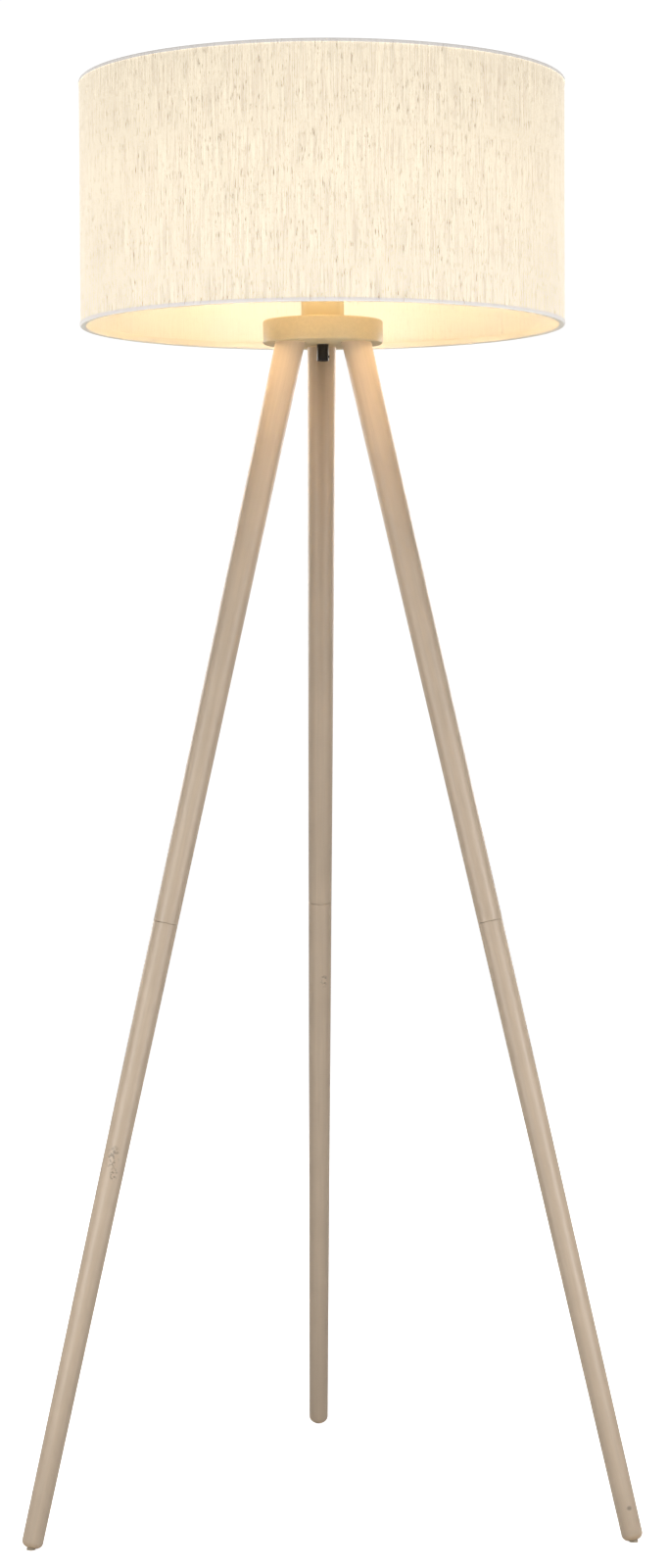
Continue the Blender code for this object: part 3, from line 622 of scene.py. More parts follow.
def linen(name, colour, glow, contrast, radius, inside=None):
    """Linen-look cloth lit from behind: upright threads of uneven thickness, streaks and short brown slubs.

    The glow is the colour and amount of lamplight that comes through, most of it level with the bulb.
    A tape folded over the cloth has another colour inside the shade, and doesn't glow there.
    """
    finish, tree, shader = new_finish(name, Roughness=0.88, Specular_IOR_Level=0.2, Sheen_Weight=0.15)
    shader.inputs["Sheen Roughness"].default_value = 0.6
    around, up = unrolled(tree, radius)
    threads = flat_noise(tree, around, up, 0.9, 45, 2, 0.6)
    streaks = flat_noise(tree, around, up, 1.7, 70, 3, 0.65, 5)
    crossing = flat_noise(tree, around, up, 12, 0.7, 2, 0.5, 9)
    slubs = flat_noise(tree, around, up, 1.4, 12, 2, 0.6, 13)
    hairs = flat_noise(tree, around, up, 1.0, 7, 2, 0.6, 17)
    clusters = flat_noise(tree, around, up, 30, 40, 2, 0.5, 21)
    broad = flat_noise(tree, around, up, 80, 60, 2, 0.5, 33)
    cloth = varied(tree, band(tree, broad, 0.3, 0.7), colour, 0.985, 1.015)
    for pattern, low, high, share, tint in (
        (threads, 0.44, 0.70, 1.0, (0.72, 0.72, 0.72)),
        (streaks, 0.50, 0.72, 0.9, (0.74, 0.69, 0.69)),
        (streaks, 0.46, 0.28, 0.7, (1.12, 1.12, 1.12)),
        (crossing, 0.45, 0.75, 0.2, (0.84, 0.84, 0.84)),
        (hairs, 0.58, 0.67, 0.6, (0.66, 0.60, 0.54)),
    ):
        share = band(tree, pattern, low, high, 0.0, share * contrast)
        cloth = blend(tree, share, cloth, tinted(colour, tint))
    gathered = band(tree, clusters, 0.34, 0.62, 0.35, 1.0)
    knots = times(tree, band(tree, slubs, 0.60, 0.68), gathered)
    cloth = blend(tree, times(tree, knots, 0.9 * contrast), cloth, tinted(colour, (0.38, 0.34, 0.31)))
    level = reckon(tree, "ABSOLUTE", reckon(tree, "SUBTRACT", up, GLOW_HEIGHT * IN_MM))
    amount = band(tree, level, 20, 150, 1.0, GLOW_AT_EDGE)
    if inside:
        flat = add_node(tree, "VectorMath", {0: own_coordinates(tree), 1: (1, 1, 0)}, operation="MULTIPLY")
        away = add_node(tree, "VectorMath", {0: flat.outputs[0]}, operation="LENGTH").outputs["Value"]
        outer_lip = band(tree, away, radius - 2 * TAPE_THICKNESS, radius - TAPE_THICKNESS)
        cloth = blend(tree, outer_lip, shade_of(inside, 1), cloth)
        amount = times(tree, amount, outer_lip)
    tree.links.new(cloth, shader.inputs["Base Color"])
    # Painted light: the lamplight through the shade's walls and edging is painted on as emission, strongest
    # level with the bulb
    through = add_node(tree, "VectorMath", {0: cloth, 1: glow}, operation="MULTIPLY")
    lit = add_node(tree, "VectorMath", {0: through.outputs[0], "Scale": amount}, operation="SCALE")
    tree.links.new(lit.outputs[0], shader.inputs["Emission Color"])
    shader.inputs["Emission Strength"].default_value = 1.0
    relief = reckon(tree, "ADD", times(tree, threads, 0.5), times(tree, crossing, 0.3))
    relief = reckon(tree, "ADD", relief, times(tree, knots, 0.6))
    add_bump(tree, shader, relief, 0.00035, 0.8)
    return finish


def all_finishes():
    """Every finish by name, apart from the legs' paint."""
    ring_grain = (60, 60, 3200)
    cloth_radius = span("shade_fabric")[2]
    cloth, lining, tape = (0.80, 0.77, 0.71), (0.88, 0.85, 0.75), (0.84, 0.82, 0.80)
    return {
        **{name: moulded(name, *values) for name, values in MOULDED.items()},
        # The hub's brighter, warmer sand is painted lamplight over the legs' paint
        "hub_paint": paint("hub_paint", LAMPLIT_SAND, (300, 14, 300)),
        "zinc": metal("zinc", (0.66, 0.67, 0.69), 0.30, ring_grain),
        "brass": metal("brass", (0.72, 0.54, 0.25), 0.28, ring_grain),
        "shade_fabric": linen("shade_fabric", cloth, (0.90, 0.785, 0.59), 1.0, cloth_radius),
        "shade_liner": linen("shade_liner", lining, (0.04, 0.06, 0.10), 0.12, cloth_radius),
        "edging": linen("edging", tape, (0.47, 0.45, 0.43), 0.45, cloth_radius, lining),
        "bulb_diffuser": opal(),
    }


def opal():
    """The bulb's frosted dome, glowing warm."""
    finish, tree, shader = new_finish("bulb_diffuser", Roughness=0.45)
    where = own_coordinates(tree)
    skin = noise(tree, where, 900, 2)
    cloud = noise(tree, where, 30, 2)
    glass = blend(tree, band(tree, cloud, 0.3, 0.7), (0.93, 0.90, 0.82, 1), (0.97, 0.95, 0.90, 1))
    shader.inputs["Emission Color"].default_value = BULB_COLOUR
    shader.inputs["Emission Strength"].default_value = BULB_STRENGTH
    dress(tree, shader, glass, band(tree, cloud, 0.3, 0.7, 0.40, 0.52), skin, 0.00003)
    return finish


# ---- legs


def make_studs(side, place):
    pitch = METRIC_M8[0]
    for node in (side + "_top_stud", side + "_mid_stud"):
        low, high, radius = span(node, place)
        corners = plug(low, high, radius, 0.0007)
        relief = thread(low, high, METRIC_M8, radius - HAIR)
        zone = (low, high, pitch / THREAD_SAMPLES)
        turn_piece(node, corners, SCREW_FACETS, relief, zone, place)
    for node in (side + "_hub_insert", side + "_mid_insert"):
        low, high, radius = span(node, place)
        bore = bore_of(node, low, high, place)
        corners = sleeve(low, high, bore, radius, 0.0004)
        relief = thread(low, high, INSERT_THREAD, radius - HAIR)
        turn_piece(node, corners, INSERT_FACETS, relief, (low, high, INSERT_ROW), place)


def make_leg(side, place):
    """The two painted lengths of a leg, bored for their studs, their insert and the glide."""
    wood = leg_paint(side)
    seam, top, top_radius = span(side + "_upper_leg", place)
    middle_radius = foot_of(side + "_upper_leg", place)[1]
    stud_floor, stud_radius = span(side + "_top_stud", place)[::2]
    bore = stud_radius + HAIR
    top_floor = stud_floor - HAIR
    seam_floor = span(side + "_mid_stud", place)[1] + HAIR
    upper = [
        (0, seam_floor, 0),
        (bore, seam_floor, 0.0004),
        (bore, seam, 0.0003),
        (middle_radius, seam, 0.0003),
        (top_radius, 0, 0),
        (top_radius, top, 0.0006),
        (bore, top, 0.0003),
        (bore, top_floor, 0.0004),
        (0, top_floor, 0),
    ]
    turn_piece(side + "_upper_leg", upper, LEG_FACETS, place=place, finish=wood)

    foot, lower_top = span(side + "_lower_leg", place)[:2]
    insert_floor, insert_radius = span(side + "_mid_insert", place)[::2]
    glide_top = span(side + "_foot_glide", place)[1]
    glide_radius = head_of(side + "_foot_glide", place)[1]
    foot_radius = reach_of(side + "_lower_leg", foot, foot + 1.3 * FOOT_ROUND, place)
    lower = [
        (0, glide_top + HAIR, 0),
        (glide_radius + HAIR, glide_top + HAIR, 0.0003),
        (glide_radius + HAIR, foot, 0),
        (foot_radius, foot, FOOT_ROUND),
        (middle_radius, lower_top, 0.0003),
        (insert_radius + HAIR, lower_top, 0.0003),
        (insert_radius + HAIR, insert_floor - HAIR, 0.0003),
        (0, insert_floor - HAIR, 0),
    ]
    turn_piece(side + "_lower_leg", lower, LEG_FACETS, place=place, finish=wood)


# ---- hub, cup and gland


def make_hub():
    hub = turn_sleeve("hub_disc", HUB_ROUND, LARGE_FACETS)
    low, high = span("hub_disc")[:2]
    cutters = []
    for side, place in LEG_PLACES.items():
        leg_top, leg_radius = span(side + "_upper_leg", place)[1:]
        insert_top, insert_radius = span(side + "_hub_insert", place)[1:]
        wide, narrow = leg_radius + 3 * HAIR, insert_radius + HAIR
        floor = leg_top + HAIR
        corners = [
            (0, low - high, 0),
            (wide, low - high, 0),
            (wide, floor, 0.0004),
            (narrow, floor, 0.0002),
            (narrow, insert_top + HAIR, 0.0002),
            (0, insert_top + HAIR, 0),
        ]
        cutters.append(add_cutter(corners, LEG_FACETS, place))
    carve(hub, cutters)


def make_cup():
    low, high, radius = span("socket_cup")
    bore, inner = foot_of("socket_cup")[0], head_of("socket_cup")[0]
    floor = span("cup_washer")[0] - HAIR
    corners = [
        (bore, low, 0.0002),
        (radius, low, 0.0009),
        (radius, high, 0.0004),
        (inner, high, 0.0004),
        (inner, floor, 0.0012),
        (bore, floor, 0.0002),
    ]
    turn_piece("socket_cup", corners, LARGE_FACETS)

    low, high, radius = span("threaded_nipple")
    corners = sleeve(low, high, bore_of("threaded_nipple", low, high), radius, 0.0003)
    relief = thread(low, high, METRIC_M10, radius - HAIR)
    zone = (low, high, METRIC_M10[0] / THREAD_SAMPLES)
    turn_piece("threaded_nipple", corners, SMALL_FACETS, relief, zone)
    turn_sleeve("cup_washer", 0.0002, SMALL_FACETS)


def make_lock_nut():
    """A hexagon nut, its corners turned down at both faces."""
    low, high, corner = span("cup_lock_nut")
    bore = bore_of("cup_lock_nut", low, high)
    half_flats = corner * cos(radians(30))

    def hexagon(radius, height, angle):
        if radius < corner - HAIR:
            return 0
        flat = half_flats / cos(angle % radians(60) - radians(30))
        turned_down = half_flats + NUT_CHAMFER_SLOPE * min(height - low, high - height)
        return min(flat, turned_down) - radius

    corners = [(bore, low, 0.0002), (corner, low, 0), (corner, high, 0), (bore, high, 0.0002)]
    zone = (low, high, (high - low) / NUT_ROWS)
    turn_piece("cup_lock_nut", corners, NUT_FACETS, hexagon, zone)


def make_gland():
    """The glossy gland with its side hole, and the slotted screw that clamps the cord."""
    low, high, radius = span("cord_gland")
    cord_bore, thread_bore = foot_of("cord_gland")[0], head_of("cord_gland")[0]
    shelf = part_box("threaded_nipple")[0][2] - HAIR
    corners = [
        (cord_bore, low, 0.0006),
        (radius, low, 0.0009),
        (radius, high, 0.0002),
        (thread_bore, high, 0.0002),
        (thread_bore, shelf, 0),
        (cord_bore, shelf, 0.0003),
    ]
    gland = turn_piece("cord_gland", corners, LARGE_FACETS)
    screw_low, screw_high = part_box("gland_clamp_screw")
    height = (screw_low[2] + screw_high[2]) / 2
    place = UPRIGHT @ Matrix.Translation((0, 0, height)) @ Matrix.Rotation(pi / 2, 4, "Y")
    inner, outer, screw_radius = span("gland_clamp_screw", place)
    hole = plug(cord_bore / 2, 2 * radius, screw_radius + HAIR, 0)
    carve(gland, [add_cutter(hole, SCREW_FACETS, place)])
    zone = (inner, outer, 0.0001)
    relief = thread(inner, outer - 0.0006, GLAND_SCREW_THREAD, screw_radius - HAIR)
    corners = plug(inner, outer, screw_radius)
    screw = turn_piece("gland_clamp_screw", corners, SCREW_FACETS, relief, zone, place)
    carve(screw, [add_slot_cutter(place, outer, screw_radius, *GLAND_SCREW_SLOT)])


# ---- lampholder


def make_holder():
    low, high, radius = span("holder_base")
    bore = foot_of("holder_base")[0]
    wall = radius - head_of("holder_base")[0]
    boss = bore + HOLDER_BOSS_WALL
    boss_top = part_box("threaded_nipple")[1][2]
    corners = [
        (bore, low, 0.0003),
        (radius, low, HOLDER_DOME),
        (radius, high, 0.0003),
        (radius - wall, high, 0.0003),
        (radius - wall, low + wall, HOLDER_DOME - wall),
        (boss, low + wall, 0.0006),
        (boss, boss_top, 0.0003),
        (bore, boss_top, 0.0002),
    ]
    turn_piece("holder_base", corners, LARGE_FACETS)

    low, high, radius = span("holder_skirt")
    bore = bore_of("holder_skirt", low, high)
    corners = [(bore, low, 0.0004), (radius, low, 0.0004), (radius, high, 0.0010), (bore, high, 0.0006)]
    start = low + 0.004
    relief = thread(start, high - 0.001, SKIRT_THREAD, radius - HAIR)
    zone = (low, high, SKIRT_THREAD[0] / THREAD_SAMPLES)
    turn_piece("holder_skirt", corners, LARGE_FACETS, relief, zone)

    low, high, flange = span("shade_ring_nut")
    bore = bore_of("shade_ring_nut", low, high)
    collar = head_of("shade_ring_nut")[1]
    flange_top = low + RING_NUT_FLANGE
    corners = [
        (bore, low, 0.0005),
        (flange, low, 0.0006),
        (flange, flange_top, 0.0008),
        (collar, flange_top, 0.0006),
        (collar, high, 0.0008),
        (bore, high, 0.0005),
    ]
    relief = ribs(flange_top + 0.0012, high - 0.0012, RING_NUT_RIBS, 0.0006, collar - HAIR)
    zone = (flange_top, high, 0.0006)
    turn_piece("shade_ring_nut", corners, RING_NUT_RIBS * 8, relief, zone)


def make_contacts():
    """The ceramic block with its terminal screws, the screw shell and the sprung centre contact."""
    block = turn_plug("holder_contact_block", 0.0006, BLOCK_FACETS)
    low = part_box("holder_contact_block")[0][2]
    holes = []
    for name in ("live_terminal_screw", "neutral_terminal_screw"):
        middle = centre(name)
        place = Matrix.Translation((middle.x, middle.y, 0))
        head_low, shank_top, head = span(name, place)
        shank = head_of(name, place)[1]
        corners = [
            (0, head_low, 0),
            (head, head_low, 0.0005),
            (head, low - HAIR, 0.0002),
            (shank, low - HAIR, 0),
            (shank, shank_top, 0.0002),
            (0, shank_top, 0),
        ]
        relief = thread(low, shank_top, TERMINAL_THREAD, shank - HAIR / 2, shank + HAIR / 2)
        zone = (low, shank_top, 0.00012)
        screw = turn_piece(name, corners, SCREW_FACETS, relief, zone, place)
        carve(screw, [add_slot_cutter(place, head_low, head, *TERMINAL_SLOT)])
        hole = plug(low - 0.002, shank_top + HAIR, shank + HAIR, 0)
        holes.append(add_cutter(hole, SCREW_FACETS, place))
    carve(block, holes)

    low, high, radius = span("holder_screw_shell")
    bore = bore_of("holder_screw_shell", low, high)
    pitch, depth = EDISON_27
    relief = thread(low + 0.002, high - 0.001, (pitch, -0.8 * depth), 0)
    zone = (low, high, pitch / THREAD_SAMPLES / 2)
    corners = sleeve(low, high, bore, radius, 0.0002)
    turn_piece("holder_screw_shell", corners, LARGE_FACETS, relief, zone)
    make_centre_contact()


def make_centre_contact():
    """A strip of spring brass, bent up to the bulb's tip."""
    low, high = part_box("holder_centre_contact")
    thickness, width = CONTACT_THICKNESS, high[1] - low[1]
    axis_x = UPRIGHT.translation.x
    foot, tip = high[0] - axis_x, low[0] - axis_x
    bottom, top = low[2] + thickness / 2, high[2] - thickness / 2
    turn_in = -tip
    route = [Vector((foot, bottom)), Vector((turn_in, bottom)), Vector((0, top)), Vector((tip, top))]
    spine = soft_path(route, CONTACT_BEND)
    bm = bmesh.new()
    rows = []
    for point, ahead in zip(spine, headings(spine)):
        across = Vector((-ahead.y, ahead.x)) * thickness / 2
        row = []
        for side, face in ((-1, 1), (1, 1), (1, -1), (-1, -1)):
            place = point + across * face
            row.append(bm.verts.new((place.x, side * width / 2, place.y)))
        rows.append(row)
    skin_rows(bm, rows)
    edges = list(bm.edges)
    bmesh.ops.bevel(bm, geom=edges, offset=0.00008, segments=2, affect="EDGES", clamp_overlap=True)
    bmesh.ops.dissolve_degenerate(bm, dist=0.000004, edges=list(bm.edges))
    add_piece("holder_centre_contact", bm)


# ---- bulb


def make_bulb():
    turn_plug("bulb_contact", 0.0009, SMALL_FACETS)
    low, high, radius = span("bulb_insulator")
    ledge = foot_of("bulb_insulator")[1]
    cap_low, cap_high, cap_radius = span("bulb_cap")
    corners = [(0, low, 0), (ledge, low, 0.0004), (radius, cap_low, 0.0004), (radius, high, 0), (0, high, 0)]
    turn_piece("bulb_insulator", corners, LARGE_FACETS)

    mouth_bore, mouth = foot_of("bulb_cap")
    wall = mouth - mouth_bore
    shoulder = high
    pitch = EDISON_27[0]
    corners = [
        (mouth_bore, cap_low, 0.0001),
        (mouth, cap_low, 0.0002),
        (cap_radius, shoulder, 0.0010),
        (cap_radius, cap_high, 0.0001),
        (cap_radius - wall, cap_high, 0.0001),
        (cap_radius - wall, shoulder, 0.0006),
    ]
    relief = thread(shoulder, cap_high - 0.002, (pitch, CAP_THREAD_DEPTH), 0)
    zone = (shoulder, cap_high, pitch / THREAD_SAMPLES / 2)
    turn_piece("bulb_cap", corners, LARGE_FACETS, relief, zone)

    low, high, rim = span("bulb_housing")
    bore, plug_radius = (size - CAP_THREAD_DEPTH for size in foot_of("bulb_housing"))
    neck_low = cap_high + HAIR
    neck = reach_of("bulb_housing", neck_low - HAIR / 2, neck_low + HAIR / 2)
    seat = head_of("bulb_housing")[0]
    flare_start = neck_low + BULB_NECK_HEIGHT
    corners = [
        (bore, low, 0.0002),
        (plug_radius, low, 0.0003),
        (plug_radius, neck_low, 0),
        (neck, neck_low, 0.0006),
        (neck, flare_start, BULB_FLARE_ROUND),
        (rim, high, 0.0006),
        (seat, high, 0.0004),
        (bore, flare_start, 0.0030),
    ]
    turn_piece("bulb_housing", corners, LARGE_FACETS)
    turn_plug("bulb_led_board", 0.0003, LARGE_FACETS)
    make_globe()


def make_globe():
    """The diffuser: most of a hollow ball, open below where it meets the housing."""
    low, high, radius = span("bulb_diffuser")
    rim_bore, rim = foot_of("bulb_diffuser")
    wall = rim - rim_bore
    middle = high - radius
    start = atan2(low - middle, rim)
    angles = [start + (pi / 2 - start) * step / GLOBE_STEPS for step in range(GLOBE_STEPS + 1)]
    outer = [Vector((radius * cos(angle), middle + radius * sin(angle))) for angle in angles]
    hollow = radius - wall
    inner = [Vector((hollow * cos(angle), middle + hollow * sin(angle))) for angle in angles]
    inner[0].y = outer[0].y
    outline = [*reversed(outer), *inner]
    outline[0].x = outline[-1].x = 0
    add_piece("bulb_diffuser", lathe(outline, LARGE_FACETS, False))


# ---- shade


def seam_swell(angle, radius):
    """How far the lap seam lifts the tape on top of it, at an angle round the shade."""
    arc_past = ((angle - SEAM_AZIMUTH + pi) % (2 * pi) - pi) * radius
    rise = min(1, max(0, (arc_past + SEAM_SLOPE) / SEAM_SLOPE))
    fall = min(1, max(0, (SEAM_LAP + SEAM_SLOPE - arc_past) / SEAM_SLOPE))
    return SEAM_STEP * min(rise, fall)


def skin_rows(bm, rows):
    """Joins rows of corners into a closed tube with flat ends."""
    for lower, upper in zip(rows, rows[1:]):
        for index in range(len(lower)):
            bm.faces.new((lower[index - 1], lower[index], upper[index], upper[index - 1]))
    bm.faces.new(reversed(rows[0]))
    bm.faces.new(rows[-1])


def soft_path(route, bend):
    """The route's points, with each inner corner rounded to a radius."""
    points = [route[0]]
    for before, here, after in zip(route, route[1:], route[2:]):
        back, ahead = (before - here).normalized(), (after - here).normalized()
        straight = back.angle(ahead) / 2 > NEARLY_STRAIGHT
        points += [here] if straight else arc(here, back, ahead, bend, BEND_STEPS)
    return [*points, route[-1]]


def headings(spine):
    """A path's direction at each of its points."""
    ends = [spine[0], *spine, spine[-1]]
    return [(after - before).normalized() for before, after in zip(ends, ends[2:])]


def make_wall(node, outward):
    """One cloth wall: a strip wrapped once round the shade, its last stretch lapped over its first.

    The lap is on the outside of the fabric, and on the inside of the liner.
    """
    low, high, outer = span(node)
    inner = bore_of(node, low, high)
    lap_angle = (SEAM_LAP + SEAM_SLOPE) / outer
    slope_angle = SEAM_SLOPE / outer
    total = 2 * pi + lap_angle
    columns = [total * column / SHADE_FACETS for column in range(SHADE_FACETS + 1)]
    slope_start = 2 * pi - slope_angle
    columns += [slope_start + slope_angle * step / SEAM_SLOPE_STEPS for step in range(SEAM_SLOPE_STEPS + 1)]
    columns = sorted(set(columns))
    rows = [low + (high - low) * row / CLOTH_ROWS for row in range(CLOTH_ROWS + 1)]
    bm = bmesh.new()
    layers = []
    for base in (outer, inner):
        layer = []
        for column in columns:
            lift = SEAM_STEP * min(1, max(0, (column - slope_start) / slope_angle))
            radius = base + outward * lift
            angle = SEAM_AZIMUTH + column
            layer.append([bm.verts.new((radius * cos(angle), radius * sin(angle), row)) for row in rows])
        layers.append(layer)
    outside, inside = layers
    last_row = len(rows) - 1
    for left in range(len(columns) - 1):
        for row in range(last_row):
            for layer in layers:
                lower, upper = layer[left], layer[left + 1]
                bm.faces.new((lower[row], upper[row], upper[row + 1], lower[row + 1]))
        for row in (0, last_row):
            near, far = outside[left], outside[left + 1]
            bm.faces.new((near[row], far[row], inside[left + 1][row], inside[left][row]))
    for end in (0, len(columns) - 1):
        for row in range(last_row):
            bm.faces.new((outside[end][row], outside[end][row + 1], inside[end][row + 1], inside[end][row]))
    return add_piece(node, bm)


def make_edging(end):
    """A folded tape over the wall's edge: a lip outside, a back inside round the wire, and a round fold."""
    node = "shade_" + end + "_edging"
    low, high, lip_out = span(node)
    back_in = bore_of(node, low, high)
    up = 1 if end == "bottom" else -1
    fold = low if end == "bottom" else high
    tape = TAPE_THICKNESS
    lip_in, back_out = lip_out - tape, back_in + tape
    lip_height = lip_reach(node, up, fold, lip_in)
    back_height = high - low
    shape = [
        (back_in, 0, 0.0014),
        (lip_out, 0, 0.0014),
        (lip_out, lip_height, 0.0002),
        (lip_in, lip_height, 0.0002),
        (lip_in, tape, 0.0009),
        (back_out, tape, 0.0009),
        (back_out, back_height, 0.0002),
        (back_in, back_height, 0.0002),
    ]
    outline = rounded([(radius, fold + up * height, size) for radius, height, size in shape], True)

    def waver(radius, height, angle):
        outside = radius > (lip_in + back_out) / 2
        wave = sum(share * sin(count * angle + start) for count, share, start in TAPE_WAVES)
        away = abs(height - fold) / lip_height
        return TAPE_WAVER * wave * away + (seam_swell(angle, radius) if outside else 0)

    add_piece(node, lathe(outline, SHADE_FACETS, True, waver))


def lip_reach(node, up, fold, lip_in):
    """How far the edging's outer lip goes up the wall from the fold."""
    points = [point for point in points_of(node) if point.xy.length > lip_in - HAIR / 2]
    return max(up * (point.z - fold) for point in points)


def wire_round():
    """Directions round a wire's section."""
    angles = [2 * pi * side / WIRE_SIDES for side in range(WIRE_SIDES)]
    return [Vector((cos(angle), sin(angle))) for angle in angles]


def make_ring(end):
    node = "shade_" + end + "_ring"
    low, high, reach = span(node)
    middle = Vector((reach - WIRE_RADIUS, (low + high) / 2))
    outline = [middle + WIRE_RADIUS * out for out in wire_round()]
    add_piece(node, lathe(outline, SHADE_FACETS, True))


def make_arm(side):
    """A wire from the bottom ring to the fitter ring, swollen by a weld at each end."""
    leg = UPRIGHT.inverted() @ centre(side + "_mid_insert")
    place = UPRIGHT @ Matrix.Rotation(atan2(leg.y, leg.x), 4, "Z")
    ring_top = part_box("shade_bottom_ring")[1][2]
    ring_radius = span("shade_bottom_ring")[2] - WIRE_RADIUS
    bend_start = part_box("shade_bottom_edging")[1][2] + WIRE_RADIUS
    fitter_low, fitter_high, fitter_radius = span("shade_fitter_ring")
    end = Vector((fitter_radius + HAIR, 0, (fitter_low + fitter_high) / 2))
    corner = Vector((ring_radius, 0, bend_start))
    rise = (end - corner).normalized()
    half = Vector((0, 0, -1)).angle(rise) / 2
    corner.z = bend_start + ARM_BEND_RADIUS / tan(half)
    spine = soft_path([Vector((ring_radius, 0, ring_top)), corner, end], ARM_BEND_RADIUS)
    spine = [spine[0], spine[0].lerp(spine[1], 0.5), *spine[1:]]
    long_run = [spine[-2].lerp(spine[-1], part / ARM_RUN_STEPS) for part in range(1, ARM_RUN_STEPS)]
    last_run = (spine[-1] - spine[-2]).length
    near_end = [spine[-1].lerp(spine[-2], back / last_run) for back in WELD_ENDS]
    spine = [*spine[:-1], *long_run[:-1], *near_end, spine[-1]]
    full, half, slight = WELD_SWELLS
    last = len(spine) - 1
    swell = {0: full, 1: slight, last: full, last - 1: half, last - 2: slight}
    across = Vector((0, 1, 0))
    bm = bmesh.new()
    rows = []
    for index, (point, ahead) in enumerate(zip(spine, headings(spine))):
        above = ahead.cross(across)
        radius = WIRE_RADIUS * swell.get(index, 1)
        rows.append([bm.verts.new(point + (across * x + above * y) * radius) for x, y in wire_round()])
    skin_rows(bm, rows)
    add_piece(side + "_shade_arm", bm, place)


def make_shade():
    fabric = make_wall("shade_fabric", 1)
    make_wall("shade_liner", -1)
    for end in ("bottom", "top"):
        make_edging(end)
        make_ring(end)
    turn_sleeve("shade_fitter_ring", 0.0006, LARGE_FACETS)
    for side in SIDES:
        make_arm(side)


def make_glide(side, place):
    """The foot's plug, its head cut level with the floor."""
    node = side + "_foot_glide"
    low, high, head = span(node, place)
    foot = span(side + "_lower_leg", place)[0]
    shank = head_of(node, place)[1]
    head_radius = GLIDE_HEAD_RADIUS
    corners = [
        (0, low - head, 0),
        (head_radius, low - head, 0),
        (head_radius, foot - HAIR, 0.0003),
        (shank, foot - HAIR, 0),
        (shank, high, 0.0004),
        (0, high, 0),
    ]
    bm = lathe(rounded(corners, False), SMALL_FACETS, False)
    inward = place.inverted()
    up = (inward.to_3x3() @ Vector((0, 0, 1))).normalized()
    everything = [*bm.verts, *bm.edges, *bm.faces]
    floor_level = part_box(node)[0][2]
    on_floor = inward @ Vector((*place.translation.xy, floor_level))
    bmesh.ops.bisect_plane(bm, geom=everything, plane_co=on_floor, plane_no=up, clear_inner=True)
    bmesh.ops.holes_fill(bm, edges=[edge for edge in bm.edges if edge.is_boundary])
    add_piece(node, bm, place)


# ---- studio


def make_camera():
    """The camera, turned about the lamp's upright axis."""
    turn = Matrix.Rotation(CAMERA_AZIMUTH, 3, "Z")
    forward = turn @ Vector((
        sin(CAMERA_YAW) * cos(CAMERA_PITCH),
        cos(CAMERA_YAW) * cos(CAMERA_PITCH),
        -sin(CAMERA_PITCH),
    ))
    level = turn @ Vector((cos(CAMERA_YAW), -sin(CAMERA_YAW), 0))
    above = level.cross(forward)
    right = level * cos(CAMERA_ROLL) + above * sin(CAMERA_ROLL)
    up = above * cos(CAMERA_ROLL) - level * sin(CAMERA_ROLL)
    data = bpy.data.cameras.new("camera")
    data.sensor_width = SENSOR_LONG_SIDE_MM
    data.lens = LENS_MM
    away = turn @ Vector((0, -CAMERA_DISTANCE, 0))
    place = Matrix.Translation(away + Vector((*UPRIGHT.translation.xy, CAMERA_HEIGHT)))
    facing = Matrix((right, up, -forward)).transposed().to_4x4()
    bpy.context.scene.camera = add_object("camera", data, place @ facing)


def make_floor():
    """A white floor that stays white out to the horizon, and that throws little light back at the lamp."""
    bpy.ops.mesh.primitive_plane_add(size=FLOOR_SIZE)
    floor = bpy.context.object
    floor.name = "floor"
    finish, tree, shader = new_finish("floor", Roughness=0.9, Specular_IOR_Level=0.0)
    cloud = noise(tree, own_coordinates(tree), 3, 2)
    tone = blend(tree, cloud, (0.90, 0.90, 0.90, 1), (0.92, 0.92, 0.92, 1))
    tree.links.new(tone, shader.inputs["Base Color"])
    shader.inputs["Emission Color"].default_value = WHITE
    shader.inputs["Emission Strength"].default_value = FLOOR_GLOW
    bounce = add_node(tree, "BsdfDiffuse", {"Color": FLOOR_BOUNCE})
    seen = add_node(tree, "LightPath").outputs["Is Camera Ray"]
    mixed = add_node(tree, "MixShader", {"Fac": seen, 1: bounce.outputs[0], 2: shader.outputs[0]})
    tree.links.new(mixed.outputs[0], tree.nodes["Material Output"].inputs["Surface"])
    floor.data.materials.append(finish)


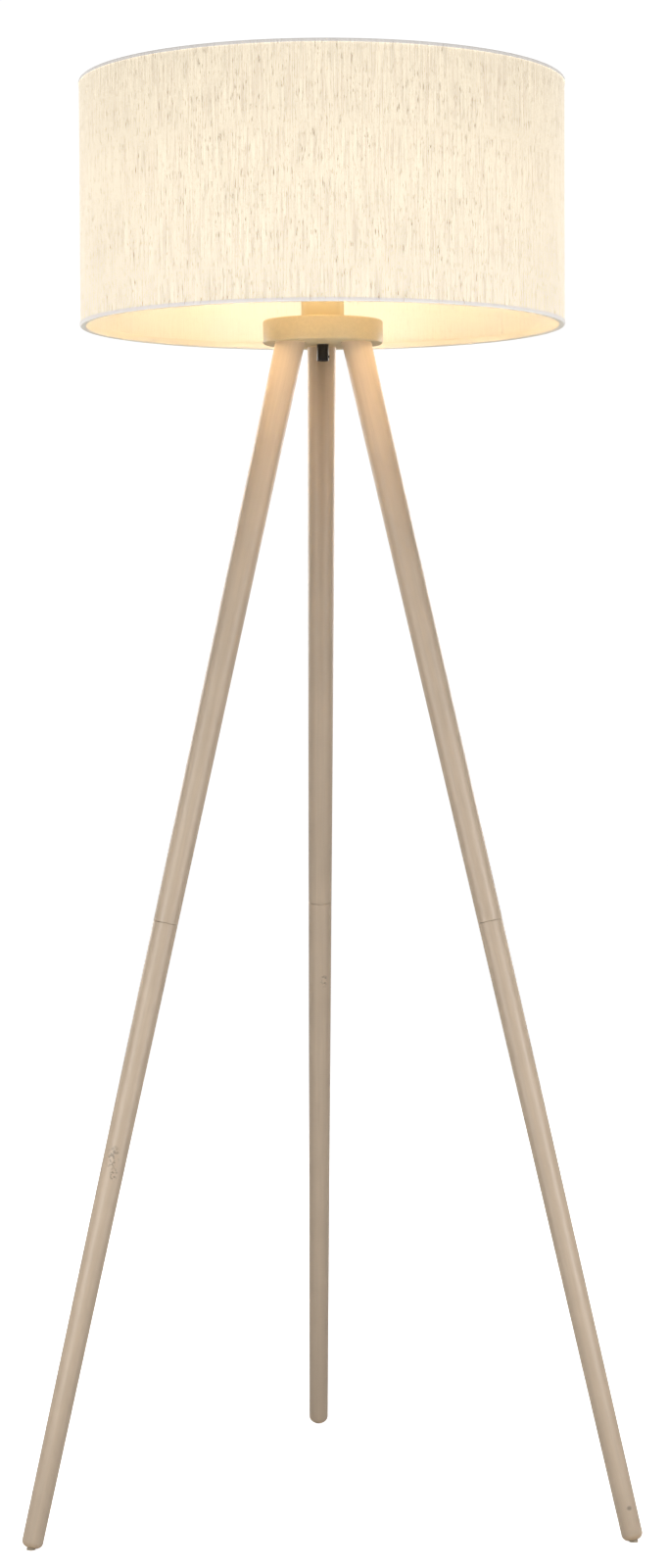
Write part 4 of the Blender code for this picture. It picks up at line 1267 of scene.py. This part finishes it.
def make_world():
    """White behind the lamp, and a softer sky that lights it, brighter below than above."""
    world = bpy.data.worlds.new("studio")
    bpy.context.scene.world = world
    world.use_nodes = True
    tree = world.node_tree
    tree.nodes.clear()
    direction = add_node(tree, "TexCoord").outputs["Generated"]
    height = add_node(tree, "SeparateXYZ", {"Vector": direction}).outputs["Z"]
    strength = band(tree, height, -0.1, 0.9, *SKY_STRENGTH)
    sky = add_node(tree, "Background", {"Color": WHITE, "Strength": strength})
    backdrop = add_node(tree, "Background", {"Color": WHITE, "Strength": BACKDROP_STRENGTH})
    seen = add_node(tree, "LightPath").outputs["Is Camera Ray"]
    mixed = add_node(tree, "MixShader", {"Fac": seen, 1: sky.outputs[0], 2: backdrop.outputs[0]})
    add_node(tree, "OutputWorld", {"Surface": mixed.outputs[0]})


def add_light(name, shape, size, power, place):
    """An area light that the camera doesn't see, shining along its own -Z."""
    data = bpy.data.lights.new(name, "AREA")
    data.shape = shape
    data.size, data.size_y = size
    data.energy = power
    add_object(name, data, place).visible_camera = False
    return data


def add_softbox(name, azimuth, aim_height, elevation, distance, size, power):
    """A rectangular light aimed at the lamp's axis. Azimuth 0 is the camera's side, turning to its right."""
    aim = Vector((*UPRIGHT.translation.xy, aim_height))
    away = Vector((sin(azimuth) * cos(elevation), -cos(azimuth) * cos(elevation), sin(elevation)))
    facing = (-away).to_track_quat("-Z", "Y").to_matrix().to_4x4()
    add_light(name, "RECTANGLE", size, power, Matrix.Translation(aim + away * distance) @ facing)


def add_spill(name, height, power):
    """Lamplight thrown down by the lining, as a level disc of light round the lamp's axis."""
    place = Matrix.Translation((*UPRIGHT.translation.xy, height))
    add_light(name, "DISK", (SPILL_SIZE, SPILL_SIZE), power, place).color = SPILL_COLOUR


def make_lights():
    """A weak softbox in front, two low ones near the front legs, two far off behind, and the lamp's spill."""
    add_spill("cup_spill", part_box("socket_cup")[1][2], CUP_SPILL_POWER)
    add_spill("leg_spill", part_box("hub_disc")[0][2], LEG_SPILL_POWER)
    add_softbox("front", 0, *FRONT_BOX)
    for name, side in (("left", -1), ("right", 1)):
        add_softbox("near_" + name, radians(side * NEAR_AZIMUTH), *NEAR_BOX)
        add_softbox("behind_" + name, radians(180 - side * BEHIND_AZIMUTH), *BEHIND_BOX)


def main():
    bpy.context.scene.view_settings.view_transform = "Standard"
    FINISHES.update(all_finishes())
    for side, place in LEG_PLACES.items():
        make_leg(side, place)
        make_studs(side, place)
        make_glide(side, place)
    make_hub()
    make_cup()
    make_lock_nut()
    make_gland()
    make_holder()
    make_contacts()
    make_bulb()
    make_shade()
    make_floor()
    make_world()
    make_lights()
    make_camera()


main()
